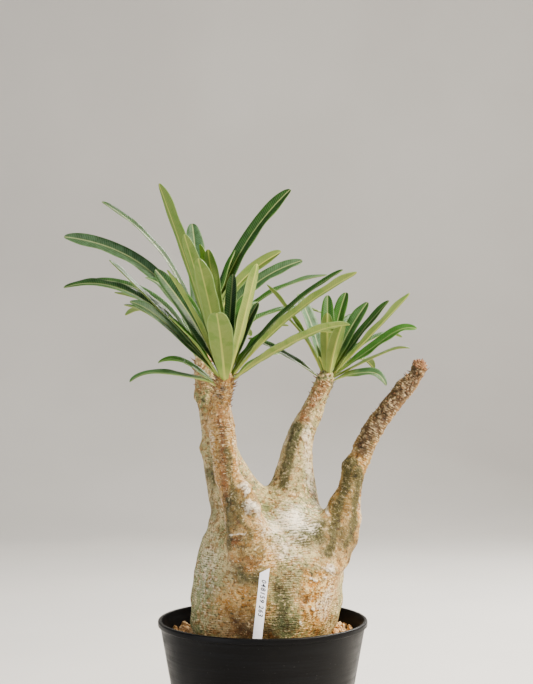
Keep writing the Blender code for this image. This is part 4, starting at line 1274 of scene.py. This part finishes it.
@dataclass(frozen=True)
class Leaf:
    """A strap leaf, in millimetres and degrees from its crown.

    right, away and up place its tip. bow is how far its middle stands above the straight line
    to the tip, hook the same near the tip. turn rolls its upper face to the front. low is how
    far below the crown's top it grows, and foot how far from the crown's middle line. tone runs
    from dark to light, and haze is how much painted whitish sheen its upper face gets.
    """

    right: float
    away: float
    up: float
    width: float
    bow: float = 2.0
    hook: float = 0.0
    turn: float = 0.0
    low: float = 4.0
    tone: float = 0.5
    # How much painted whitish sheen the upper face gets.
    haze: float = 0.0
    foot: float = 2.5

    def line(self, crown: Array, t: Array) -> tuple[Array, Array, Array]:
        """The midrib and the directions of the blade.

        The midrib is the chord from root to tip, lifted by bow times a parabola and hook times
        t to the fifth. The faces start level across the chord and are turned over the first third.

        Args:
            crown: The end of the leaf's arm.
            t: Shares of the way from root to tip.

        Returns:
            The midrib at each t, and the directions across the blade and out of its upper face.
        """
        tip = np.array((self.right, self.away, self.up)) * MM
        flat = math.atan2(self.away, self.right)
        start = np.array((math.cos(flat) * self.foot, math.sin(flat) * self.foot, -self.low)) * MM
        chord = tip - start
        aside = np.cross(chord, UP)
        aside /= np.linalg.norm(aside)
        rise = np.cross(aside, chord / np.linalg.norm(chord))
        lift = (self.bow * 4 * t * (1 - t) + self.hook * 15 * t ** 5 * (1 - t)) * MM
        points = crown + start + t[:, None] * chord + lift[:, None] * rise
        slope = (self.bow * 4 * (1 - 2 * t) + self.hook * 15 * (5 * t ** 4 - 6 * t ** 5)) * MM
        along = unit(chord + slope[:, None] * rise)
        across = np.broadcast_to(aside, along.shape)
        upper = np.cross(across, along)
        front = -1 if aside[1] > 0 else 1
        angle = math.radians(self.turn) * np.clip(t / 0.35, 0, 1)[:, None]
        face = np.cos(angle) * upper + front * np.sin(angle) * across
        return points, np.cross(along, face), face


FRONT_LEAVES = (
    Leaf(-43.5, -30, 129, 14, 2, 0, 0, 2, 0.4), Leaf(-26, -40, 94, 11, 2, 0, 4, 3, 0.6, 0.25),
    Leaf(-17, -14, 89, 9, 2, 0, 0, 2, 0.9), Leaf(-16, -57, 77, 12.5, 3, 0, 0, 5, 0.6, 0.15),
    Leaf(-11, -25, 85, 9.5, 2, 0, 0, 2, 0.4), Leaf(-3.5, -74, 41, 16.5, 5, 0, 0, 7, 0.6),
    Leaf(5, 15, 70, 8.5, 1, 0, 0, 2, 0.0), Leaf(22, -10, 76, 9, 0, 0, -28, 3, 0.85, 0.4),
    Leaf(22.5, 20, 50, 12.5, 3, 0, 10, 3, 0.0, 0.15), Leaf(90, -17, 70, 9, 7, 0, -26, 5, 0.7),
    Leaf(81, -7, 72, 9, 7, 0, 22, 3, 0.2), Leaf(84, -37, 34, 9.5, 6, 2, -24, 6, 0.8),
    Leaf(73, -24, 29, 9, 6, 3, -12, 6, 0.7), Leaf(38, 10, 14, 9, 3, 2, 24, 7, 0.5, 0.2),
    Leaf(22, 26, 51, 8, 5, 4, 0, 5, 0.6, 0.7), Leaf(-49, 10, 73, 11, 4, 0, 62, 3, 0.15, 0.12),
    Leaf(-57, 20, 68, 9, 7, 3, 20, 4, 0.3, 0.3), Leaf(-35, 18, 60, 10, 4, 0, 40, 4, 0.5),
    Leaf(-40, -7, 72, 9, 3, 0, -12, 3, 0.95), Leaf(-80, -4, 79, 9, 2, 0, 12, 3, 0.3, 0.1),
    Leaf(-38, -16, 40, 9, 3, 0, 25, 6, 0.55), Leaf(-65, -12, 50, 10, 4, 2, 42, 5, 0.3, 0.35),
    Leaf(-70, -2, 48, 9, 6, 2, 10, 5, 0.5), Leaf(-46, -7, 8, 8.5, 7, 3, 24, 13, 0.9),
    Leaf(-65, -12, -5, 9, 6, 3, 18, 8, 0.4, 0.2), Leaf(14, 46, 56, 10, 8, 0, 0, 5, 0.3),
    Leaf(44, 34, 34, 10, 8, 3, 0, 7, 0.3), Leaf(-22, 30, 82, 10, 3, 0, 0, 3, 0.4),
)
BACK_LEAVES = (
    Leaf(-101, 3, 86, 10.5, 24, 0, 62, 4, 0.15, 0.3), Leaf(-73, -2, 111, 9, 18, 0, 22, 3, 0.1),
    Leaf(-102, 8, 49, 10.5, 20, 3, 30, 6, 0.15, 0.1), Leaf(-82, 26, 56, 10, 17, 0, 18, 5, 0.2, 0.1),
    Leaf(-66, 20, 46, 10, 12, 0, 0, 6, 0.3), Leaf(-10, 48, 99, 14, 7, 0, 0, 3, 0.2, 0.35),
    Leaf(64, 28, 123, 12, 13, 0, 35, 2, 0.1), Leaf(73, 27, 70, 11, 14, 0, 40, 3, 0.2, 0.25),
    Leaf(92, 40, 60, 9, 14, 0, 10, 4, 0.4), Leaf(90, 47, 31, 9.5, 16, 2, 10, 6, 0.4),
    Leaf(-30, 60, 58, 11, 12, 0, 0, 4, 0.3), Leaf(-62, 66, 30, 11, 14, 3, 0, 6, 0.3),
    Leaf(8, 82, 48, 11, 14, 2, 0, 5, 0.35), Leaf(42, 66, 62, 11, 12, 0, 0, 4, 0.3),
    Leaf(-24, 84, 22, 10, 14, 3, 0, 7, 0.3), Leaf(34, 78, 14, 10, 13, 3, 0, 7, 0.35),
    Leaf(57, 14, 76, 11, 13, 0, -50, 3, 0.35), Leaf(23, 10, 76.5, 10.5, 3, 0, 0, 2, 0.8),
)
MIDDLE_LEAVES = (
    Leaf(-44, -10, 64, 8.5, 4, 0, -5, 3, 0.5), Leaf(-21, 12, 58, 11, 3, 0, 25, 2, 0.4, 0.7),
    Leaf(-31, -6, 42, 9.5, 4, 0, 10, 4, 0.5, 0.3), Leaf(1, 15, 57, 10, 1, 0, 0, 1, 0.5),
    Leaf(-1, -25, 43, 10, 2, 0, 0, 4, 0.55), Leaf(10, -30, 37, 10.5, 3, 0, 0, 5, 0.55),
    Leaf(31, 20, 52, 10.5, 3, 0, 30, 2, 0.3, 0.1), Leaf(46, 10, 53, 9.5, 2, 0, 20, 3, 0.2),
    Leaf(60, -5, 58, 9.5, 0, 0, -25, 3, 0.3), Leaf(64, -15, 32, 10.5, 3, 4, 40, 4, 0.75, 0.1),
    Leaf(60, -8, 18, 9, 3, 2, 0, 5, 0.4), Leaf(42, -15, -9, 9.5, 7, 4, 34, 7, 0.3, 0.3),
    Leaf(-58, 8, 25, 8.5, 3, 1, 22, 6, 0.2), Leaf(16, 42, 60, 10, 5, 0, 0, 3, 0.4),
    Leaf(24, 52, 44, 10, 10, 0, 0, 4, 0.35), Leaf(58, 38, 26, 10, 10, 3, 0, 5, 0.35),
    Leaf(2, 64, 10, 10, 12, 3, 0, 6, 0.3), Leaf(38, 52, 2, 10, 10, 3, 0, 7, 0.3),
)


@dataclass
class LeafHead:
    """One arm's rosette: strap leaves and a bud of young ones, each a closed thin blade."""

    name: str
    limb: Limb
    leaves: tuple[Leaf, ...]
    material: bpy.types.Material
    seed: int
    stations: int = 44
    thickness: float = 0.55 * MM
    stalk: float = 0.26
    gutter: float = 0.36
    rib_height: float = 0.5 * MM
    rib_reach: float = 0.62 * MM
    groove_depth: float = 0.14 * MM
    groove_reach: float = 0.5 * MM
    sway_height: float = 0.32 * MM
    across: tuple[float, ...] = (-1, -0.95, -0.8, -0.55, -0.3, -0.12, 0, 0.12, 0.3, 0.55, 0.8, 0.95, 1)

    def half_width(self, t: Array, end_share: float) -> Array:
        """Half the width along a blade: a sine swell from the stalk, and a blunt end.

        Args:
            t: Shares of the way from root to tip.
            end_share: How much of the length the end takes.

        Returns:
            The half width as a share of the most.
        """
        blade = np.clip((t - 0.04) / 0.5, 0, 1)
        swell = self.stalk + (1 - self.stalk) * np.sin(blade * math.pi / 2)
        end = np.clip((t - 1 + end_share) / end_share, 0, 1)
        return swell * np.sqrt(np.clip(1 - 0.99 * end ** 2.2, 0, 1))

    def young_leaves(self) -> list[Leaf]:
        """Four short upright leaves round the growing point."""
        made = []
        for k in range(4):
            angle = k * GOLDEN_ANGLE + self.seed
            reach = 3.0 + 2.0 * k
            right, away = reach * math.cos(angle), reach * math.sin(angle)
            made.append(Leaf(right, away, 24 - 4.0 * k, 4.2, 1, 0, 0, 1, 0.9))
        return made

    def blade(self, leaf: Leaf, number: int, crown: Array) -> dict[str, Array]:
        """One leaf as rings of an upper and an under row of points.

        Above, the height across the blade is the gutter times a power of the way to the margin, so
        that the halves meet in a soft fold, less a rolled-down margin and a groove along the rib.
        Below, it is that less the thickness and a rib, which is a bell across the blade. Long soft
        waves lift both margins.

        Args:
            leaf: The leaf.
            number: Its number in the head, which seeds its waves.
            crown: The end of its arm.

        Returns:
            The points, and the vectors that the leaves' material reads at each.
        """
        draw = np.random.default_rng(self.seed * 100 + number)
        t = 1 - (1 - np.linspace(0, 1, self.stations)) ** 1.5
        centre, across, face = leaf.line(crown, t)
        a = np.array(self.across)
        along = run_length(centre)
        half = self.half_width(t, 1.9 * leaf.width * MM / along[-1]) * leaf.width * MM / 2
        wide = half[:, None]
        off = np.abs(a) * wide
        margin = smooth(np.abs(a), 0.82, 1.0)
        wave_length, phase, lean = draw.uniform(17, 30) * MM, draw.uniform(0, 6.3), draw.uniform(-1, 1)
        sway = np.sin(FULL_TURN * along / wave_length + phase)[:, None] * (lean * a + np.abs(a))
        fade = np.minimum(wide / (3 * MM), 1)
        upper = self.gutter * wide * np.abs(a) ** 1.35 - 0.14 * wide * margin
        upper = upper + self.sway_height * fade * sway * a ** 2
        upper = upper - self.groove_depth * bell(off / self.groove_reach) * fade
        thick = self.thickness * (1 - 0.45 * a ** 2) * (0.35 + 0.65 * fade)
        rib = self.rib_height * bell(off / self.rib_reach) * (1 - 0.75 * t[:, None]) * fade
        heights = np.concatenate([upper, (upper - thick - rib)[:, ::-1]], 1)
        sides = np.concatenate([a, a[::-1]])
        points = centre[:, None] + across[:, None] * (sides * wide)[..., None]
        points = points + face[:, None] * heights[..., None]
        under = np.repeat((0.0, 1.0), len(a))
        place = np.stack(np.broadcast_arrays(sides, wide, along[:, None]), -1)
        look = np.stack(np.broadcast_arrays(under, leaf.tone, leaf.haze, wide)[:3], -1)
        return {"points": points.reshape(-1, 3), "blade": place.reshape(-1, 3), "leaf": look.reshape(-1, 3)}

    def faces(self, count: int) -> list[Array]:
        """Quads round each blade, and strips that close its root and tip.

        Args:
            count: How many blades.

        Returns:
            Arrays of point numbers, one face a row.
        """
        wide = len(self.across)
        quads = tube_faces(count, self.stations, 2 * wide)[0]
        k = np.arange(wide - 1)
        strip = np.stack([k, k + 1, 2 * wide - 2 - k, 2 * wide - 1 - k], 1)
        first = np.arange(count)[:, None, None] * self.stations * 2 * wide
        last = first + (self.stations - 1) * 2 * wide
        return [quads, (strip[:, ::-1] + first).reshape(-1, 4), (strip + last).reshape(-1, 4)]

    def build(self) -> bpy.types.Object:
        """The head's blades in one piece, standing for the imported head."""
        crown = self.limb.path()[-1, :3]
        leaves = list(self.leaves) + self.young_leaves()
        blades = [self.blade(leaf, number, crown) for number, leaf in enumerate(leaves)]
        whole = {key: np.concatenate([blade[key] for blade in blades]) for key in blades[0]}
        piece = piece_from(f"{self.name}_leaves", whole.pop("points"), self.faces(len(blades)), whole, 70)
        piece.data.materials.append(self.material)
        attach(piece, "root")
        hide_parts(f"{self.name}_head")
        return piece


@dataclass
class Pot:
    """The nursery pot: a turned wall with a rounded lip, and drain holes in its foot."""

    height: float = 125 * MM
    rim: float = 75 * MM
    foot: float = 51.6 * MM
    wall: float = 1.6 * MM
    floor: float = 2.4 * MM
    lip: float = 4 * MM
    stand_out: float = 0.9 * MM
    sides: int = 160
    drains: int = 4
    drain_radius: float = 4.5 * MM
    drain_circle: float = 33 * MM
    drain_sides: int = 24

    def radius(self, z: float) -> float:
        """The outer wall's radius at a height, on a straight taper."""
        return self.foot + (self.rim - self.stand_out - self.foot) * z / self.height

    def profile(self) -> Array:
        """The wall's outline as (radius, height): straight runs joined by quarter arcs."""
        top = self.height
        bore = self.radius(top) - self.wall
        round_foot = 1.2 * MM
        rows = [(0.6 * MM, 0.0), (20 * MM, 0.0)]
        rows += arc(self.radius(0) - round_foot, round_foot, round_foot, -90, 0, 5)
        rows += [(self.radius(z), z) for z in np.linspace(6 * MM, top - self.lip - 0.5 * MM, 14)]
        rows += arc(self.rim - 0.6 * MM, top - self.lip + 0.6 * MM, 0.6 * MM, -70, 0, 4)
        rows += arc(self.rim - 1.1 * MM, top - 1.1 * MM, 1.1 * MM, 0, 90, 6)
        rows += arc(bore + 0.5 * MM, top - 0.5 * MM, 0.5 * MM, 90, 180, 4)
        rows += [(self.radius(z) - self.wall, z) for z in np.linspace(top - 8 * MM, self.floor + 3 * MM, 10)]
        corner = 2 * MM
        inner = self.radius(self.floor) - self.wall
        rows += arc(inner - corner, self.floor + corner, corner, 0, -90, 4)
        rows += [(20 * MM, self.floor), (0.6 * MM, self.floor)]
        return np.array(rows)

    def build(self) -> bpy.types.Object:
        """The profile turned about Z, drilled, and dressed in satin black."""
        profile = self.profile()
        points = profile[:, None, :1] * level(turns(self.sides))[None] + profile[:, None, 1:] * UP
        body = piece_from("pot_body", points.reshape(-1, 3), tube_faces(1, len(profile), self.sides))
        spots = level((np.arange(self.drains) + 0.5) * FULL_TURN / self.drains) * self.drain_circle
        ends = np.array((-4 * MM, 8 * MM))[:, None, None] * UP
        holes = spots[:, None, None] + ends + self.drain_radius * level(turns(self.drain_sides))
        bits = piece_from("drill_bits", holes.reshape(-1, 3), tube_faces(self.drains, 2, self.drain_sides))
        cut = body.modifiers.new("drill", "BOOLEAN")
        cut.object = bits
        cut.solver = "EXACT"
        mesh = applied(body)
        bpy.data.objects.remove(bits)
        mesh.materials.clear()
        mesh.materials.append(PotFinish().material())
        piece = linked("nursery_pot", mesh, 40)
        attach(piece, "root")
        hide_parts("pot")
        return piece


@dataclass
class Gravel:
    """Loose pumice on the packed soil, each stone a dented ball."""

    top: float = 112.4 * MM
    pitch: float = 3.7 * MM
    outer: float = 68.6 * MM
    inner: float = 36 * MM
    rows: int = 7
    sides: int = 9
    upper_share: float = 0.42

    def stones(self, trunk: Trunk) -> tuple[Array, Array]:
        """Places the stones on a shaken grid in two layers.

        Args:
            trunk: The trunk, which the stones keep clear of.

        Returns:
            The stones' middles and their half sizes.
        """
        draw = np.random.default_rng(31)
        reach = int(self.outer / self.pitch) + 1
        i, j = np.meshgrid(np.arange(-reach, reach + 1), np.arange(-reach, reach + 1))
        flat = np.stack([i.ravel(), j.ravel()], 1) * self.pitch
        lower = flat + draw.uniform(-0.4, 0.4, flat.shape) * self.pitch
        upper = flat + draw.uniform(-0.9, 0.9, flat.shape) * self.pitch
        upper = upper[draw.random(len(upper)) < self.upper_share]
        sizes = np.concatenate([draw.uniform(1.5, 2.4, len(lower)), draw.uniform(1.2, 2.7, len(upper))]) * MM
        lift = np.concatenate([draw.uniform(-0.8, 0.8, len(lower)), draw.uniform(1.8, 3.0, len(upper))]) * MM
        middles = np.column_stack([np.concatenate([lower, upper]), self.top + lift])
        far = np.hypot(middles[:, 0], middles[:, 1])
        clear = trunk.field(middles, limb_paths())[0]
        kept = (far + sizes < self.outer + 0.6 * MM) & (far > self.inner) & (clear > 0.3 * sizes)
        return middles[kept], sizes[kept]

    def build(self, trunk: Trunk) -> bpy.types.Object:
        """Stones as turned grids: a ball pressed along three axes and dented by two sines.

        Args:
            trunk: The trunk, which the stones keep clear of.

        Returns:
            The stones as one piece.
        """
        middles, sizes = self.stones(trunk)
        count = len(middles)
        draw = np.random.default_rng(32)
        polar = np.linspace(0.12, math.pi - 0.12, self.rows)
        ball = np.sin(polar)[:, None, None] * level(turns(self.sides)) + np.cos(polar)[:, None, None] * UP
        press = draw.uniform(0.68, 1.15, (count, 1, 1, 3))
        tilt = draw.normal(size=(count, 3, 3))
        dents = 1 + 0.17 * np.sin(ball @ draw.normal(0, 2.6, (3, count)) + draw.uniform(0, 6, count))
        dents += 0.1 * np.sin(ball @ draw.normal(0, 5.0, (3, count)) + draw.uniform(0, 6, count))
        dents = np.moveaxis(dents, -1, 0)[..., None]
        shapes = np.einsum("nrsk,nkj->nrsj", ball[None] * press * dents, np.linalg.qr(tilt)[0])
        points = middles[:, None, None] + shapes * sizes[:, None, None, None]
        shade = np.repeat(draw.random(count), self.rows * self.sides)
        piece = piece_from("gravel_stones", points.reshape(-1, 3), tube_faces(count, self.rows, self.sides),
                           {"shade": shade}, 42)
        piece.data.materials.append(PumiceFinish().material("pumice_stones", True))
        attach(piece, "root")
        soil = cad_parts["soil"]
        soil.data.materials.clear()
        soil.data.materials.append(PumiceFinish().material("pumice_bed", False))
        return piece


@dataclass
class Tag:
    """The plant tag, cut slanting at its top and pointed below, with a line of plain numbers."""

    width: float = 6.4 * MM
    length: float = 92 * MM
    thickness: float = 0.8 * MM
    slant: float = 4 * MM
    point: float = 6 * MM
    top: Place = (1.7, -49.4, 169)
    lean_right: float = math.radians(6.3)
    lean_back: float = math.radians(4)
    rounding: float = 0.14 * MM
    numbers: str = "048159 263"
    figure_size: float = 4.6 * MM
    ink_depth: float = 0.02 * MM

    def stand(self) -> Matrix:
        """Moves a tag drawn flat round its top corner to where it leans on the trunk."""
        lean = Matrix.Rotation(self.lean_right, 4, "Y") @ Matrix.Rotation(-self.lean_back, 4, "X")
        return Matrix.Translation(Vector(self.top) * MM) @ lean

    def plate(self) -> bpy.types.Object:
        """The outline given depth, with every edge rounded by a bevel."""
        half = self.width / 2
        bottom = -self.length
        outline = np.array([(-half, -self.slant), (-half, bottom + self.point), (0, bottom),
                            (half, bottom + self.point), (half, 0)])
        edge = self.thickness / 2
        points = np.concatenate([np.insert(outline, 1, side * edge, axis=1) for side in (-1, 1)])
        piece = piece_from("plant_tag", points, tube_faces(1, 2, len(outline)))
        bevel = piece.modifiers.new("rounding", "BEVEL")
        bevel.width = self.rounding
        bevel.segments = 3
        mesh = applied(piece)
        mesh.transform(self.stand())
        return linked("plant_tag", mesh, 35)

    def writing(self) -> bpy.types.Object:
        """Plain numbers along the tag, as a thin layer of ink on its front."""
        curve = bpy.data.curves.new("tag_numbers", "FONT")
        curve.body = self.numbers
        curve.size = self.figure_size
        curve.space_character = 1.15
        curve.shear = 0.25
        curve.offset = 0.09 * MM
        curve.extrude = self.ink_depth
        curve.resolution_u = 3
        curve.align_y = "CENTER"
        mesh = applied(placed("tag_numbers", curve))
        bpy.data.curves.remove(curve)
        down = Matrix(((0, 1, 0, 0), (0, 0, -1, 0), (-1, 0, 0, 0), (0, 0, 0, 1)))
        place = Matrix.Translation((0.2 * MM, -self.thickness / 2 - self.ink_depth, -8 * MM))
        mesh.transform(self.stand() @ place @ down)
        return linked("tag_numbers", mesh, 30)

    def build(self) -> list[bpy.types.Object]:
        """The plate and its ink."""
        finish = TagFinish()
        plate = self.plate()
        plate.data.materials.append(finish.material())
        ink = self.writing()
        ink.data.materials.clear()
        ink.data.materials.append(finish.ink())
        for piece in (plate, ink):
            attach(piece, "root")
        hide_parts("tag")
        return [plate, ink]


@dataclass(frozen=True)
class Lamp:
    """A square soft light: where it stands, what it points at, its side and its power in watts."""

    name: str
    place: Place
    side: float
    power: float
    tint: str
    aim: Place = (0, 0, 0.24)

    def build(self) -> None:
        """Adds the light to the scene."""
        data = bpy.data.lights.new(self.name, "AREA")
        data.size = self.side
        data.energy = self.power
        data.color = colour(self.tint)[:3]
        lamp = placed(self.name, data)
        lamp.location = self.place
        lamp.rotation_euler = (Vector(self.aim) - Vector(self.place)).to_track_quat("-Z", "Y").to_euler()


@dataclass
class Studio:
    """A pale sweep, soft lights and a camera at the photograph's angle."""

    lamps: tuple[Lamp, ...] = (
        Lamp("key", (1.15, -0.5, 1.25), 0.4, 96, "fff3e2"),
        Lamp("rim", (0.6, 0.8, 1.0), 0.5, 36, "fffaf2"),
        Lamp("fill", (-1.2, -0.9, 0.6), 1.2, 21, "f4f5fc"),
    )
    camera_place: Place = (2.7, -1069, 323.4)
    photo_height: float = 684
    focal_pixels: float = 1490
    sensor: float = 36
    floor_height: float = -0.1 * MM
    room_colour: str = "e9ecf0"
    room_strength: float = 0.27

    def sweep(self) -> bpy.types.Object:
        """The floor and backdrop: a level run, a quarter arc and a wall, carried straight across."""
        rows = [(-3.0, self.floor_height), (1.4, self.floor_height)]
        rows += arc(1.4, 0.8, 0.8, -90, 0, 24)[1:] + [(2.2, 3.5)]
        profile = np.array(rows)
        points = np.stack(np.broadcast_arrays((-4.0, 4.0), profile[:, :1], profile[:, 1:]), -1)
        k = np.arange(len(rows) - 1) * 2
        quads = np.stack([k, k + 1, k + 3, k + 2], 1)
        floor = piece_from("floor", points.reshape(-1, 3), [quads])
        r = Recipe("pale_floor")
        cloud = r.noise(3.0, 3.0)
        floor.data.materials.append(r.finish(r.mix(r.step(cloud, 0.3, 0.7), "c9c8c5", "cfcecb"), 0.8))
        return floor

    def build(self) -> None:
        """Sets the stage."""
        self.sweep()
        for lamp in self.lamps:
            lamp.build()
        world = bpy.data.worlds.new("soft_room")
        world.use_nodes = True
        background = world.node_tree.nodes["Background"]
        background.inputs["Color"].default_value = colour(self.room_colour)
        background.inputs["Strength"].default_value = self.room_strength
        bpy.context.scene.world = world
        data = bpy.data.cameras.new("camera")
        data.sensor_width = self.sensor
        data.lens = self.focal_pixels / self.photo_height * self.sensor
        camera = placed("camera", data)
        camera.location = Vector(self.camera_place) * MM
        camera.rotation_euler = (math.pi / 2, 0, 0)
        bpy.context.scene.camera = camera


def main() -> None:
    """Builds the part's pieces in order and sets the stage."""
    logging.basicConfig(level=logging.INFO, format="%(message)s")
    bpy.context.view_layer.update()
    trunk = Trunk()
    leaf_green = LeafFinish().material()
    builds = [trunk.build(), Spines().build()]
    for seed, (name, leaves) in enumerate((("front", FRONT_LEAVES), ("back", BACK_LEAVES),
                                           ("middle", MIDDLE_LEAVES)), 1):
        builds.append(LeafHead(name, LIMBS[name], leaves, leaf_green, seed).build())
    builds += [Pot().build(), Gravel().build(trunk), *Tag().build()]
    for piece in builds:
        piece.data.calc_loop_triangles()
        log.info("%s: %d triangles", piece.name, len(piece.data.loop_triangles))
    Studio().build()


if __name__ == "__main__":
    main()
